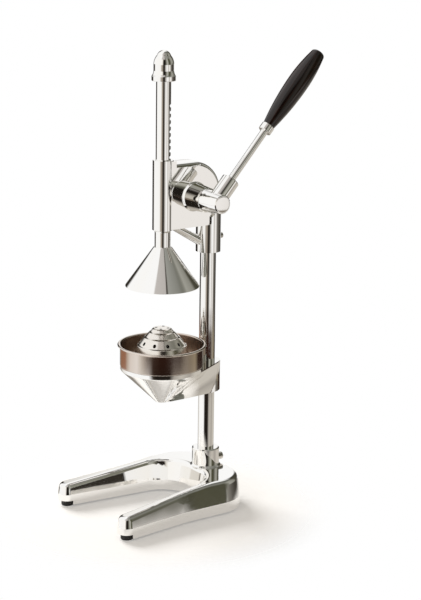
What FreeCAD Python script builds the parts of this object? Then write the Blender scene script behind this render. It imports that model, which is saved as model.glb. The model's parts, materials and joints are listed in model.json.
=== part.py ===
import FreeCAD, Part
import math
import os
import Sketcher
from types import SimpleNamespace

# Citrus press with a toothed ram, driven by a side lever through a gear.
# Millimetres, +Z up. The front is -Y, the lever is on the +X side, and the origin
# is on the table under the middle of the press's outer box.

doc = FreeCAD.newDocument("citrus_press")
sheet = doc.addObject("Spreadsheet::Sheet", "sizes")

driving_sizes = {
    # play between pieces
    "seat_gap": 0.02,
    "running_gap": 0.05,
    "lift_gap": 0.3,
    "end_gap": 0.4,
    "cut_margin": 1.0,
    # column, and the ram in front of it
    "column_diameter": 22.0,
    "column_wall": 3.0,
    "ram_reach": 74.3,
    # base casting
    "base_rear": 29.0,
    "base_rear_half": 77.5,
    "base_rear_corner": 50.0,
    "flank_half": 77.5,
    "flank_reach": 65.0,
    "flank_radius": 300.0,
    "leg_spread": 75.7,
    "leg_reach": 178.7,
    "leg_tip_radius": 13.0,
    "inner_half": 52.5,
    "inner_rear": 23.5,
    "inner_corner": 40.0,
    "base_wall": 4.0,
    "base_roof": 8.0,
    "skirt_gap": 3.0,
    "skirt_top": 17.5,
    "side_lean": 5.0,
    "base_height": 47.0,
    "tip_drop": 14.0,
    "base_edge_radius": 7.8,
    "top_break": 45.0,
    "top_blend": 10.0,
    "collar_diameter": 37.5,
    "collar_rise": 26.0,
    "collar_bevel": 1.5,
    "collar_flare": 2.4,
    "boss_bottom": 8.0,
    # feet
    "foot_diameter": 16.5,
    "foot_height": 12.0,
    "foot_bevel": 0.8,
    "foot_recess_depth": 5.0,
    "foot_recess_diameter": 9.0,
    "foot_boss_diameter": 13.0,
    "foot_rear_spread": 44.0,
    "foot_rear_back": 6.0,
    "tip_notch_height": 8.8,
    "tip_notch_back": 1.5,
    "foot_screw_diameter": 4.0,
    "foot_screw_head": 8.0,
    "foot_screw_head_height": 3.0,
    "foot_screw_length": 15.0,
    # clamping screws on the column
    "clamp_screw_diameter": 6.0,
    "clamp_head_diameter": 10.5,
    "clamp_head_length": 8.4,
    "small_clamp_head": 8.0,
    "small_clamp_length": 5.5,
    "base_screw_drop": 18.2,
    "head_screw_rise": 19.0,
    "holder_screw_rise": 24.5,
    # cup holder
    "holder_top": 203.0,
    "holder_rim_height": 4.5,
    "holder_arm_height": 1.5,
    "funnel_depth": 45.5,
    "holder_sleeve_diameter": 37.0,
    "holder_spout_diameter": 17.0,
    "holder_ring_diameter": 112.0,
    "holder_shoulder_step": 0.5,
    "holder_wall": 4.0,
    "arm_rise": 6.0,
    "spout_bore": 13.0,
    "spout_depth": 4.0,
    # juice cup
    "cup_diameter": 113.2,
    "cup_wall": 1.2,
    "cup_height": 29.6,
    "cup_bead": 3.4,
    "cup_bead_round": 2.0,
    "cup_foot_step": 1.2,
    "cup_floor": 1.5,
    "cup_drain_diameter": 84.0,
    "spigot_depth": 6.0,
    "spigot_wall": 1.4,
    # reamer
    "reamer_height": 50.0,
    "reamer_wall": 1.2,
    "crown_radius": 11.0,
    "crown_round": 2.0,
    "upper_run": 2.2,
    "upper_drop": 3.6,
    "middle_run": 4.6,
    "middle_drop": 5.8,
    "lower_run": 7.2,
    "lower_drop": 9.8,
    "ledge_run": 2.2,
    "ledge_drop": 1.1,
    "skirt_run": 6.0,
    "reamer_rim": 11.5,
    "juice_hole_count": 10,
    "juice_hole_diameter": 4.5,
    "crown_hole_count": 4,
    "crown_hole_diameter": 4.0,
    "crown_hole_radius": 8.2,
    # gear and rack
    "gear_height": 432.0,
    "gear_module": 2.7,
    "gear_teeth": 26,
    "pressure_angle": 20.0,
    "gear_width": 12.0,
    "gear_hub_diameter": 24.0,
    "root_clearance": 0.25,
    "backlash": 0.3,
    "rack_flat": 9.3,
    "rack_gaps": 18,
    "rack_gaps_below": 2,
    # head casting
    "head_half_width": 13.3,
    "cavity_gap": 0.7,
    "housing_wall": 4.5,
    "housing_floor": 3.0,
    "housing_rise": 3.0,
    "corner_run": 26.5,
    "corner_round": 3.0,
    "housing_edge_radius": 5.0,
    "guide_diameter": 28.0,
    "guide_drop": 42.4,
    "guide_rise": 51.2,
    "lug_reach": 12.5,
    "lug_drop": 1.0,
    "sleeve_diameter": 34.0,
    "sleeve_drop": 26.0,
    "sleeve_length": 54.0,
    "column_cap": 11.0,
    "barrel_root_diameter": 37.0,
    "barrel_end_diameter": 33.0,
    "barrel_end": 43.0,
    "barrel_bevel": 1.2,
    "barrel_ring_width": 1.6,
    "barrel_ring_rise": 0.8,
    "brace_high_back": 14.0,
    "brace_high_drop": 39.0,
    "brace_low_front": 10.0,
    "brace_low_drop": 67.0,
    "brace_high_diameter": 9.0,
    "brace_low_diameter": 13.0,
    # gear cover
    "cover_thickness": 4.0,
    "cover_boss_diameter": 24.0,
    "cover_boss_end": 22.0,
    "cover_screw_diameter": 3.0,
    "cover_screw_head": 5.5,
    "cover_screw_head_height": 2.4,
    "cover_screw_length": 12.0,
    # shaft and bushes
    "shaft_diameter": 14.0,
    "bush_wall": 2.0,
    "key_width": 4.0,
    "key_length": 10.0,
    "washer_diameter": 20.0,
    "washer_thickness": 1.5,
    "shaft_screw_diameter": 5.0,
    "shaft_screw_head": 9.0,
    "shaft_screw_head_height": 3.5,
    "shaft_screw_length": 14.0,
    # lever
    "lever_tilt": 41.8,
    "lever_offset": 60.5,
    "lever_length": 250.0,
    "hub_end": 78.0,
    "hub_root_diameter": 31.0,
    "hub_end_diameter": 24.8,
    "hub_bevel": 1.2,
    "hub_shaft_depth": 26.0,
    "hub_cap_diameter": 21.4,
    "hub_cap_depth": 3.0,
    "hub_cap_dome": 0.4,
    "hub_pin_diameter": 4.0,
    "hub_pin_inset": 7.5,
    "socket_diameter": 24.3,
    "socket_reach": 37.6,
    "socket_bevel": 1.0,
    "rod_diameter": 10.0,
    "rod_seat": 14.0,
    "rod_tail": 14.0,
    "ferrule_start": 117.0,
    "ferrule_end": 127.0,
    "ferrule_diameter": 18.0,
    "ferrule_bevel": 1.0,
    "grip_neck_diameter": 16.0,
    "grip_belly_diameter": 29.0,
    "grip_belly_at": 72.0,
    "grip_end_radius": 9.8,
    "grip_corner": 5.0,
    # ram, its cap and the press cone
    "ram_diameter": 20.0,
    "ram_rise": 160.0,
    "ram_spigot_diameter": 12.0,
    "ram_spigot_length": 17.2,
    "cap_depth": 4.5,
    "cap_flange_diameter": 32.1,
    "cap_flange_height": 7.0,
    "cap_waist_diameter": 27.0,
    "cap_waist_at": 13.5,
    "cap_shoulder_at": 21.5,
    "cap_brow_radius": 9.2,
    "cap_brow_at": 33.0,
    "cap_height": 39.8,
    "cone_hub_diameter": 21.5,
    "cone_hub_drop": 43.6,
    "cone_hub_height": 21.9,
    "cone_top_diameter": 23.8,
    "cone_height": 53.5,
    "cone_rim_diameter": 99.6,
    "cone_wall": 1.9,
    "cone_web": 5.5,
    "cone_screw_diameter": 5.0,
    "cone_screw_head": 11.0,
    "cone_screw_head_height": 4.0,
    "cone_screw_length": 20.0,
}

for row, (alias, amount) in enumerate(driving_sizes.items(), start=1):
    sheet.set(f"A{row}", alias)
    sheet.set(f"B{row}", str(amount))
    sheet.setAlias(f"B{row}", alias)
doc.recompute()


# A number together with the sheet expression that it comes from
class Size:
    def __init__(self, value, text):
        self.value = float(value)
        self.text = text

    def __add__(self, other):
        other = as_size(other)
        return Size(self.value + other.value, f"({self.text} + {other.text})")

    def __sub__(self, other):
        other = as_size(other)
        return Size(self.value - other.value, f"({self.text} - {other.text})")

    def __mul__(self, other):
        other = as_size(other)
        return Size(self.value * other.value, f"({self.text} * {other.text})")

    def __truediv__(self, other):
        other = as_size(other)
        return Size(self.value / other.value, f"({self.text} / {other.text})")

    def __radd__(self, other):
        return as_size(other) + self

    def __rsub__(self, other):
        return as_size(other) - self

    def __rmul__(self, other):
        return as_size(other) * self

    def __rtruediv__(self, other):
        return as_size(other) / self

    def __neg__(self):
        return Size(-self.value, f"(-{self.text})")


def as_size(number):
    if isinstance(number, Size):
        return number
    return Size(number, f"({float(number)!r})")


def root(size):
    return Size(math.sqrt(size.value), f"sqrt({size.text})")


def sine(degrees):
    return Size(math.sin(math.radians(degrees.value)), f"sin({degrees.text} * 1 deg)")


def cosine(degrees):
    return Size(math.cos(math.radians(degrees.value)), f"cos({degrees.text} * 1 deg)")


def tangent(degrees):
    return Size(math.tan(math.radians(degrees.value)), f"tan({degrees.text} * 1 deg)")


def arc_cosine(ratio):
    return Size(math.degrees(math.acos(ratio.value)), f"(acos({ratio.text}) / 1 deg)")


cells = {alias: Size(sheet.get(alias), f"sizes.{alias}") for alias in driving_sizes}
s = SimpleNamespace(**cells)
zero = as_size(0)
pieces = []


# Document objects and their bindings
def bind(item, path, size):
    item.setExpression(path, as_size(size).text)


def new_body(label, x, y, z, turn_axis=None, turn=0):
    body = doc.addObject("PartDesign::Body", label)
    body.Label = label
    if turn_axis is not None:
        rotation = FreeCAD.Rotation(turn_axis, as_size(turn).value)
        body.Placement = FreeCAD.Placement(FreeCAD.Vector(), rotation)
    if isinstance(turn, Size):
        body.setExpression("Placement.Rotation.Angle", f"{turn.text} * 1 deg")
    for axis, amount in zip("xyz", (x, y, z)):
        bind(body, f"Placement.Base.{axis}", amount)
    pieces.append(body)
    return body


def new_sketch(body, name, role, shift=(zero, zero, zero)):
    sketch = body.newObject("Sketcher::SketchObject", f"{body.Label}_{name}")
    plane = next(item for item in body.Origin.OriginFeatures if item.Role == role)
    sketch.AttachmentSupport = (plane, [""])
    sketch.MapMode = "FlatFace"
    for axis, amount in zip("xyz", shift):
        bind(sketch, f"AttachmentOffset.Base.{axis}", amount)
    return sketch


def constrain(sketch, rules):
    first = sketch.ConstraintCount
    sketch.addConstraint([rule for rule, size in rules])
    for place, (rule, size) in enumerate(rules, start=first):
        if size is not None:
            bind(sketch, f"Constraints[{place}]", size)


# Arc of a given radius between two points; a negative radius turns clockwise
def arc_between(start, end, radius):
    middle = (start + end) * 0.5
    chord = end - start
    left = FreeCAD.Vector(-chord.y, chord.x, 0).normalize()
    rise = math.sqrt(radius ** 2 - (chord.Length / 2) ** 2)
    centre = middle + left * (rise if radius > 0 else -rise)
    first, last = (start, end) if radius > 0 else (end, start)
    angles = [math.atan2(point.y - centre.y, point.x - centre.x) for point in (first, last)]
    circle = Part.Circle(centre, FreeCAD.Vector(0, 0, 1), abs(radius))
    return Part.ArcOfCircle(circle, angles[0], angles[1])


# Closed outline through corners (x, y), or (x, y, radius) where an arc leads to the corner
def outline(sketch, corners):
    corners = [tuple(as_size(number) for number in corner) for corner in corners]
    points = [FreeCAD.Vector(corner[0].value, corner[1].value, 0) for corner in corners]
    offset = sketch.GeometryCount
    shapes = []
    ends = []
    rules = []
    for place, corner in enumerate(corners):
        start, end = points[place - 1], points[place]
        if len(corner) == 3:
            shapes.append(arc_between(start, end, corner[2].value))
            clockwise = corner[2].value < 0
            ends.append((2, 1) if clockwise else (1, 2))
            radius = -corner[2] if clockwise else corner[2]
            rules.append((Sketcher.Constraint("Radius", offset + place, radius.value), radius))
        else:
            shapes.append(Part.LineSegment(start, end))
            ends.append((1, 2))
    for place, corner in enumerate(corners):
        here = offset + place
        after = (place + 1) % len(corners)
        joint = Sketcher.Constraint("Coincident", here, ends[place][1], offset + after, ends[after][0])
        rules.append((joint, None))
        for kind, amount in (("DistanceX", corner[0]), ("DistanceY", corner[1])):
            rules.append((Sketcher.Constraint(kind, -1, 1, here, ends[place][1], amount.value), amount))
    sketch.addGeometry(shapes, False)
    constrain(sketch, rules)


# Closed outline that runs round wheels (x, y, radius, sense) like a belt, on tangent lines
def belt(sketch, wheels):
    count = len(wheels)
    centres = [FreeCAD.Vector(as_size(x).value, as_size(y).value, 0) for x, y, radius, sense in wheels]
    leave = []
    enter = [None] * count
    for place in range(count):
        after = (place + 1) % count
        reach = centres[after] - centres[place]
        along = FreeCAD.Vector(reach).normalize()
        right = FreeCAD.Vector(along.y, -along.x, 0)
        near = wheels[place][2].value * wheels[place][3]
        far = wheels[after][2].value * wheels[after][3]
        lean = (near - far) / reach.Length
        normal = along * lean + right * math.sqrt(1 - lean ** 2)
        leave.append(centres[place] + normal * near)
        enter[after] = centres[after] + normal * far
    rules = []
    shapes = []
    for place, (x, y, radius, sense) in enumerate(wheels):
        after = (place + 1) % count
        ends = (enter[place], leave[place]) if sense > 0 else (leave[place], enter[place])
        angles = [math.atan2(point.y - centres[place].y, point.x - centres[place].x) for point in ends]
        circle = Part.Circle(centres[place], FreeCAD.Vector(0, 0, 1), radius.value)
        shapes.append(Part.ArcOfCircle(circle, angles[0], angles[1]))
        shapes.append(Part.LineSegment(leave[place], enter[after]))
    for place, (x, y, radius, sense) in enumerate(wheels):
        arc, line, arc_after = 2 * place, 2 * place + 1, 2 * ((place + 1) % count)
        out_end = 2 if sense > 0 else 1
        in_end = 1 if wheels[(place + 1) % count][3] > 0 else 2
        rules.append((Sketcher.Constraint("DistanceX", -1, 1, arc, 3, as_size(x).value), x))
        rules.append((Sketcher.Constraint("DistanceY", -1, 1, arc, 3, as_size(y).value), y))
        rules.append((Sketcher.Constraint("Radius", arc, radius.value), radius))
        rules.append((Sketcher.Constraint("Tangent", arc, out_end, line, 1), None))
        rules.append((Sketcher.Constraint("Tangent", line, 2, arc_after, in_end), None))
    sketch.addGeometry(shapes, False)
    constrain(sketch, rules)


# Circles (x, y) of one diameter
def circles(sketch, diameter, centres):
    radius = diameter / 2
    for x, y in centres:
        centre = FreeCAD.Vector(as_size(x).value, as_size(y).value, 0)
        place = sketch.addGeometry(Part.Circle(centre, FreeCAD.Vector(0, 0, 1), radius.value), False)
        constrain(sketch, [
            (Sketcher.Constraint("Radius", place, radius.value), radius),
            (Sketcher.Constraint("DistanceX", -1, 1, place, 3, centre.x), x),
            (Sketcher.Constraint("DistanceY", -1, 1, place, 3, centre.y), y),
        ])


# Solid features; a cut has to take something away
def pad(body, sketch, length, symmetric=False):
    feature = body.newObject("PartDesign::Pad", f"{sketch.Name}_pad")
    feature.Profile = sketch
    feature.SideType = "Symmetric" if symmetric else "One side"
    bind(feature, "Length", length)
    return feature


def settle_cut(body, feature, volume_before):
    doc.recompute()
    if body.Shape.Volume >= volume_before:
        raise RuntimeError(f"{feature.Name} cuts nothing")
    return feature


def pocket(body, sketch, length, symmetric=False):
    doc.recompute()
    volume_before = body.Shape.Volume
    feature = body.newObject("PartDesign::Pocket", f"{sketch.Name}_pocket")
    feature.Profile = sketch
    feature.SideType = "Symmetric" if symmetric else "One side"
    feature.Reversed = not symmetric
    bind(feature, "Length", length)
    return settle_cut(body, feature, volume_before)


def turned(body, sketch, axis="V_Axis"):
    feature = body.newObject("PartDesign::Revolution", f"{sketch.Name}_turned")
    feature.Profile = sketch
    feature.ReferenceAxis = (sketch, [axis])
    return feature


def groove(body, sketch, axis="V_Axis"):
    doc.recompute()
    volume_before = body.Shape.Volume
    feature = body.newObject("PartDesign::Groove", f"{sketch.Name}_groove")
    feature.Profile = sketch
    feature.ReferenceAxis = (sketch, [axis])
    return settle_cut(body, feature, volume_before)


def pattern_round(body, feature, axis_sketch, count):
    copies = body.newObject("PartDesign::PolarPattern", f"{feature.Name}_round")
    copies.Originals = [feature]
    copies.Axis = (axis_sketch, ["N_Axis"])
    copies.Angle = 360
    bind(copies, "Occurrences", count)
    body.Tip = copies
    return copies


def round_edges(body, base, edges, radius):
    feature = body.newObject("PartDesign::Fillet", f"{base.Name}_fillet")
    feature.Base = (base, edges)
    bind(feature, "Radius", radius)
    return feature


# Piece turned about its own upright axis, from corners (radius, height)
def turned_piece(label, corners, x, y, z, turn_axis=None, turn=0):
    body = new_body(label, x, y, z, turn_axis, turn)
    sketch = new_sketch(body, "profile", "XZ_Plane")
    outline(sketch, corners)
    turned(body, sketch)
    return body


# Where the main axes run
pitch_radius = s.gear_module * s.gear_teeth / 2
rack_line = s.rack_flat - s.gear_module
gear_to_ram = rack_line + pitch_radius
gear_to_column = s.ram_reach - gear_to_ram
grip_round_at = s.lever_length - s.grip_corner
grip_flat = s.grip_end_radius - s.grip_corner
grip_corner_back = grip_round_at * sine(s.lever_tilt) + grip_flat * cosine(s.lever_tilt)
grip_back = grip_corner_back + s.grip_corner - gear_to_column
column_y = (s.leg_reach + s.leg_tip_radius - grip_back) / 2
gear_y = column_y - gear_to_column
ram_y = column_y - s.ram_reach
column_bore = s.column_diameter + 2 * s.seat_gap
lever_axis = FreeCAD.Vector(-1, 0, 0)

# The gear room and the housing round it, measured from the gear axis
room_radius = pitch_radius + s.gear_module + s.cavity_gap
housing_top = s.housing_rise + room_radius + s.housing_wall
housing_bottom = -(room_radius + s.housing_floor)

# Where the main heights are; the head, the ram and the cone go up and down with the gear
collar_top = s.base_height + s.collar_rise
tip_height = s.base_height - s.tip_drop
holder_arm_top = s.holder_top - s.holder_rim_height
holder_shoulder = holder_arm_top - s.holder_arm_height
holder_bottom = holder_shoulder - s.funnel_depth
guide_top = s.gear_height + s.guide_rise
guide_bottom = s.gear_height - s.guide_drop
sleeve_top = s.gear_height - s.sleeve_drop
sleeve_bottom = sleeve_top - s.sleeve_length
column_top = sleeve_top - s.column_cap
ram_top = s.gear_height + s.ram_rise
cone_hub_top = s.gear_height - s.cone_hub_drop
cone_top = cone_hub_top - s.cone_hub_height
cone_rim = cone_top - s.cone_height
base_screw_height = collar_top - s.base_screw_drop
head_screw_height = sleeve_bottom + s.head_screw_rise
holder_screw_height = holder_bottom + s.holder_screw_rise


# Base: a hollow casting with two legs, a collar for the column and a seat for each foot
def base_wheels(inset):
    rear_x = s.base_rear_half - s.base_rear_corner
    rear_y = s.base_rear - s.base_rear_corner
    inner_x = s.inner_half - s.inner_corner
    inner_y = -(s.inner_rear + s.inner_corner)
    left = [
        (-rear_x, rear_y, s.base_rear_corner - inset, 1),
        (-(s.flank_half + s.flank_radius), -s.flank_reach, s.flank_radius + inset, -1),
        (-s.leg_spread, -s.leg_reach, s.leg_tip_radius - inset, 1),
        (-inner_x, inner_y, s.inner_corner + inset, -1),
    ]
    return left + [(-x, y, radius, sense) for x, y, radius, sense in reversed(left)]


# Edges round the faces of a shape that look one way
def rim_edges(shape, direction):
    facing = 0.9
    faces = []
    for face in shape.Faces:
        middle = face.Surface.parameter(face.CenterOfMass)
        if face.normalAt(*middle).dot(direction) > facing:
            faces.append(face)
    rim = []
    for place, edge in enumerate(shape.Edges, start=1):
        owners = [face for face in faces if any(edge.isSame(other) for other in face.Edges)]
        if len(owners) == 1:
            rim.append((f"Edge{place}", edge))
    return rim


def foot_places():
    front = [(side * s.leg_spread, -s.leg_reach) for side in (-1, 1)]
    rear = [(side * s.foot_rear_spread, s.foot_rear_back) for side in (-1, 1)]
    return front, rear


def make_base():
    body = new_body("base_casting", zero, column_y, zero)
    plan = new_sketch(body, "plan", "XY_Plane", (zero, zero, s.skirt_gap))
    belt(plan, base_wheels(zero))
    pad(body, plan, s.skirt_top - s.skirt_gap)
    # the sides lean in above the skirt
    waist = new_sketch(body, "waist", "XY_Plane", (zero, zero, s.skirt_top))
    belt(waist, base_wheels(zero))
    crest = new_sketch(body, "crest", "XY_Plane", (zero, zero, s.base_height))
    belt(crest, base_wheels(s.side_lean))
    sides = body.newObject("PartDesign::AdditiveLoft", "base_casting_sides")
    sides.Profile = waist
    sides.Sections = [crest]
    sides.Ruled = True
    # the top is level round the collar and falls towards the leg tips
    fall = (s.base_height - tip_height) / (s.leg_reach - s.top_break)
    slant = root(1 + fall * fall)
    front = s.leg_reach + s.leg_tip_radius + s.cut_margin
    blend_radius = s.top_blend * fall / (slant - 1)
    above = s.base_height + s.cut_margin
    top = new_sketch(body, "top", "YZ_Plane")
    outline(top, [
        (s.top_blend - s.top_break, above),
        (s.top_blend - s.top_break, s.base_height),
        (-s.top_break - s.top_blend / slant, s.base_height - s.top_blend * fall / slant, blend_radius),
        (-front, s.base_height - fall * (front - s.top_break)),
        (-front, above),
    ])
    cut = pocket(body, top, 2 * (s.flank_half + s.leg_tip_radius + s.leg_spread), symmetric=True)
    top_edges = [name for name, edge in rim_edges(cut.Shape, FreeCAD.Vector(0, 0, 1))]
    round_edges(body, cut, top_edges, s.base_edge_radius)
    # hollow underside
    leg_room = new_sketch(body, "leg_room", "XY_Plane", (zero, zero, s.skirt_gap))
    belt(leg_room, base_wheels(s.base_wall))
    pocket(body, leg_room, tip_height - s.base_roof - s.skirt_gap)
    room_end = (s.base_rear + s.inner_rear) / 2 - s.base_wall - s.side_lean
    room_x = s.base_rear_half - s.base_rear_corner
    room_y = (s.base_rear - s.inner_rear) / 2
    rear_room = new_sketch(body, "rear_room", "XY_Plane", (zero, zero, s.skirt_gap))
    belt(rear_room, [(room_x, room_y, room_end, 1), (-room_x, room_y, room_end, 1)])
    pocket(body, rear_room, s.base_height - s.base_roof - s.skirt_gap)
    # collar and the boss under it
    collar = new_sketch(body, "collar", "XZ_Plane")
    collar_radius = s.collar_diameter / 2
    outline(collar, [
        (zero, s.boss_bottom),
        (collar_radius, s.boss_bottom),
        (collar_radius, s.base_height - s.collar_flare),
        (collar_radius + s.collar_flare, s.base_height),
        (collar_radius, s.base_height + s.collar_flare),
        (collar_radius, collar_top - s.collar_bevel),
        (collar_radius - s.collar_bevel, collar_top),
        (zero, collar_top),
    ])
    turned(body, collar)
    # bosses that the feet are screwed to
    front_feet, rear_feet = foot_places()
    into_roof = s.base_roof / 2
    bosses = (("front_boss", front_feet, tip_height), ("rear_boss", rear_feet, s.base_height))
    for name, places, top_height in bosses:
        boss = new_sketch(body, name, "XY_Plane", (zero, zero, s.foot_height))
        circles(boss, s.foot_boss_diameter, places)
        pad(body, boss, top_height - s.base_roof + into_roof - s.foot_height)
    bore = new_sketch(body, "bore", "XY_Plane", (zero, zero, s.boss_bottom - s.cut_margin))
    circles(bore, column_bore, [(zero, zero)])
    pocket(body, bore, collar_top - s.boss_bottom + 2 * s.cut_margin)
    threads = new_sketch(body, "threads", "XY_Plane", (zero, zero, s.foot_height))
    circles(threads, s.foot_screw_diameter + 2 * s.seat_gap, front_feet + rear_feet)
    pocket(body, threads, s.foot_recess_depth + s.foot_screw_length - s.foot_height + s.cut_margin)
    # the skirt is cut away in front of the feet at the tips
    notch = new_sketch(body, "notch", "XY_Plane")
    for x, y in front_feet:
        half = s.leg_tip_radius + s.cut_margin
        outline(notch, [
            (x - half, -front),
            (x + half, -front),
            (x + half, s.tip_notch_back + y),
            (x - half, s.tip_notch_back + y),
        ])
    pocket(body, notch, s.tip_notch_height)
    screw_hole(body, base_screw_height, collar_radius)


# Radial hole for a clamping screw, in the rear of a sleeve round the column
def screw_hole(body, height, sleeve_radius, column_at=zero):
    outside = column_at + sleeve_radius + s.cut_margin
    hole = new_sketch(body, "screw_hole", "XZ_Plane", (zero, zero, -outside))
    circles(hole, s.clamp_screw_diameter + 2 * s.seat_gap, [(zero, height)])
    pocket(body, hole, sleeve_radius + s.cut_margin - s.column_diameter / 4)


def make_clamp_screw(label, height, sleeve_diameter, head_diameter=None, head_length=zero):
    thread = s.clamp_screw_diameter / 2
    shank = (sleeve_diameter - s.column_diameter) / 2 - s.running_gap
    bevel = s.collar_bevel / 2
    end = shank + head_length
    corners = [(zero, zero), (thread, zero)]
    radius = thread
    if head_diameter is not None:
        radius = head_diameter / 2
        corners += [(thread, shank), (radius, shank)]
    corners += [(radius, end - bevel), (radius - bevel, end), (zero, end)]
    start = column_y + s.column_diameter / 2 + s.running_gap
    turned_piece(label, corners, zero, start, height, FreeCAD.Vector(1, 0, 0), -90)


def make_feet():
    recess = s.foot_recess_diameter / 2
    foot = s.foot_diameter / 2
    bore = s.foot_screw_diameter / 2 + s.running_gap
    front_feet, rear_feet = foot_places()
    labels = ("foot_front_left", "foot_front_right", "foot_rear_left", "foot_rear_right")
    for label, (x, y) in zip(labels, front_feet + rear_feet):
        turned_piece(label, [
            (recess, zero),
            (foot - s.foot_bevel, zero),
            (foot, s.foot_bevel),
            (foot, s.foot_height),
            (bore, s.foot_height),
            (bore, s.foot_recess_depth),
            (recess, s.foot_recess_depth),
        ], x, column_y + y, zero)
    screws = new_body("foot_screws", zero, column_y, zero)
    screws.AllowCompound = True
    head_bottom = s.foot_recess_depth - s.foot_screw_head_height
    heads = new_sketch(screws, "heads", "XY_Plane", (zero, zero, head_bottom))
    circles(heads, s.foot_screw_head, front_feet + rear_feet)
    pad(screws, heads, s.foot_screw_head_height)
    shanks = new_sketch(screws, "shanks", "XY_Plane", (zero, zero, s.foot_recess_depth))
    circles(shanks, s.foot_screw_diameter, front_feet + rear_feet)
    pad(screws, shanks, s.foot_screw_length)


def make_column():
    outer = s.column_diameter / 2
    inner = outer - s.column_wall
    turned_piece("column", [
        (inner, s.boss_bottom),
        (outer, s.boss_bottom),
        (outer, column_top),
        (inner, column_top),
    ], zero, column_y, zero)


# Cup holder: an arm that spreads from a column sleeve into a funnel with a spout
def make_holder():
    body = new_body("cup_holder", zero, ram_y, zero)
    ring = s.holder_ring_diameter / 2
    shoulder = ring - s.holder_shoulder_step
    spout = s.holder_spout_diameter / 2
    sections = []
    for name, height, radius in (
        ("spout_plan", holder_bottom, spout),
        ("shoulder_plan", holder_shoulder, shoulder),
        ("arm_plan", holder_arm_top, shoulder),
    ):
        section = new_sketch(body, name, "XY_Plane", (zero, zero, height))
        belt(section, [(zero, zero, radius, 1), (zero, s.ram_reach, s.holder_sleeve_diameter / 2, 1)])
        sections.append(section)
    arm = body.newObject("PartDesign::AdditiveLoft", "cup_holder_arm")
    arm.Profile = sections[0]
    arm.Sections = sections[1:]
    arm.Ruled = True
    rim = new_sketch(body, "rim", "XZ_Plane")
    outline(rim, [
        (zero, holder_shoulder),
        (shoulder, holder_shoulder),
        (ring, holder_shoulder + 2 * s.holder_shoulder_step),
        (ring, s.holder_top),
        (zero, s.holder_top),
    ])
    turned(body, rim)
    funnel = new_sketch(body, "funnel", "XZ_Plane")
    seat = s.cup_diameter / 2 - s.holder_wall
    bore = s.spout_bore / 2
    outline(funnel, [
        (zero, holder_bottom - s.cut_margin),
        (bore, holder_bottom - s.cut_margin),
        (bore, holder_bottom + s.spout_depth),
        (seat, s.holder_top - s.spigot_depth - s.cut_margin),
        (seat, s.holder_top + s.cut_margin),
        (zero, s.holder_top + s.cut_margin),
    ])
    groove(body, funnel)
    below = holder_bottom - s.cut_margin
    column_hole = new_sketch(body, "column_hole", "XY_Plane", (zero, zero, below))
    circles(column_hole, column_bore, [(zero, s.ram_reach)])
    pocket(body, column_hole, holder_arm_top - holder_bottom + 2 * s.cut_margin)
    arm_end = s.ram_reach + s.holder_sleeve_diameter / 2 + s.cut_margin
    underside = new_sketch(body, "underside", "YZ_Plane")
    outline(underside, [
        (spout, holder_bottom),
        (spout, holder_bottom - s.cut_margin),
        (arm_end, holder_bottom - s.cut_margin),
        (arm_end, holder_bottom + s.arm_rise),
    ])
    pocket(body, underside, 2 * s.holder_sleeve_diameter, symmetric=True)
    screw_hole(body, holder_screw_height, s.holder_sleeve_diameter / 2, s.ram_reach)


def make_cup():
    outer = s.cup_diameter / 2
    inner = outer - s.cup_wall
    spigot = outer - s.holder_wall - s.lift_gap
    top = s.cup_height
    bead = s.cup_bead / 2
    drain = s.cup_drain_diameter / 2
    turned_piece("juice_cup", [
        (spigot - s.spigot_wall, -s.spigot_depth),
        (spigot, -s.spigot_depth),
        (spigot, zero),
        (outer - s.cup_foot_step, zero),
        (outer, s.cup_foot_step),
        (outer, top - 2 * bead),
        (outer + 2 * bead, top - bead, s.cup_bead),
        (outer + bead, top, s.cup_bead_round),
        (inner, top - bead, s.cup_bead),
        (inner, s.cup_floor),
        (drain, s.cup_floor),
        (drain, zero),
        (spigot - s.spigot_wall, zero),
    ], zero, ram_y, s.holder_top)


# Reamer: a stepped, perforated dome pressed from sheet, with a flat rim in the cup
def make_reamer():
    steps = [
        (s.crown_round, s.crown_round / 2),
        (s.upper_run, s.upper_drop),
        (s.ledge_run, s.ledge_drop),
        (s.middle_run, s.middle_drop),
        (s.ledge_run, s.ledge_drop),
        (s.lower_run, s.lower_drop),
        (s.ledge_run, s.ledge_drop),
    ]
    radius = s.crown_radius
    height = s.reamer_height
    outer = [(zero, height), (radius, height)]
    for run, drop in steps:
        radius = radius + run
        height = height - drop
        outer.append((radius, height))
    skirt = radius + s.skirt_run
    wall = s.reamer_wall
    outer.append((skirt, wall))
    inner = [(zero, s.reamer_height - wall)]
    inner += [(across - wall, high - wall) for across, high in outer[1:-1]]
    inner.append((skirt - wall, zero))
    rim = skirt + s.reamer_rim
    corners = outer + [(rim, wall), (rim, zero)] + inner[::-1]
    body = turned_piece("reamer", corners, zero, ram_y, s.holder_top + s.cup_floor)
    # juice holes look outwards from the lower step, and a few stand on the crown
    lower_top = outer[6][1]
    hole = new_sketch(body, "juice_hole", "XZ_Plane")
    circles(hole, s.juice_hole_diameter, [(zero, lower_top - s.lower_drop / 2)])
    cut = pocket(body, hole, skirt + s.cut_margin)
    ground = new_sketch(body, "ground", "XY_Plane")
    pattern_round(body, cut, ground, s.juice_hole_count)
    crown_hole = new_sketch(body, "crown_hole", "XY_Plane", (zero, zero, s.reamer_height / 2))
    diagonal = s.crown_hole_radius / root(as_size(2))
    circles(crown_hole, s.crown_hole_diameter, [(diagonal, diagonal)])
    crown_cut = pocket(body, crown_hole, s.reamer_height)
    pattern_round(body, crown_cut, ground, s.crown_hole_count)


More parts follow.
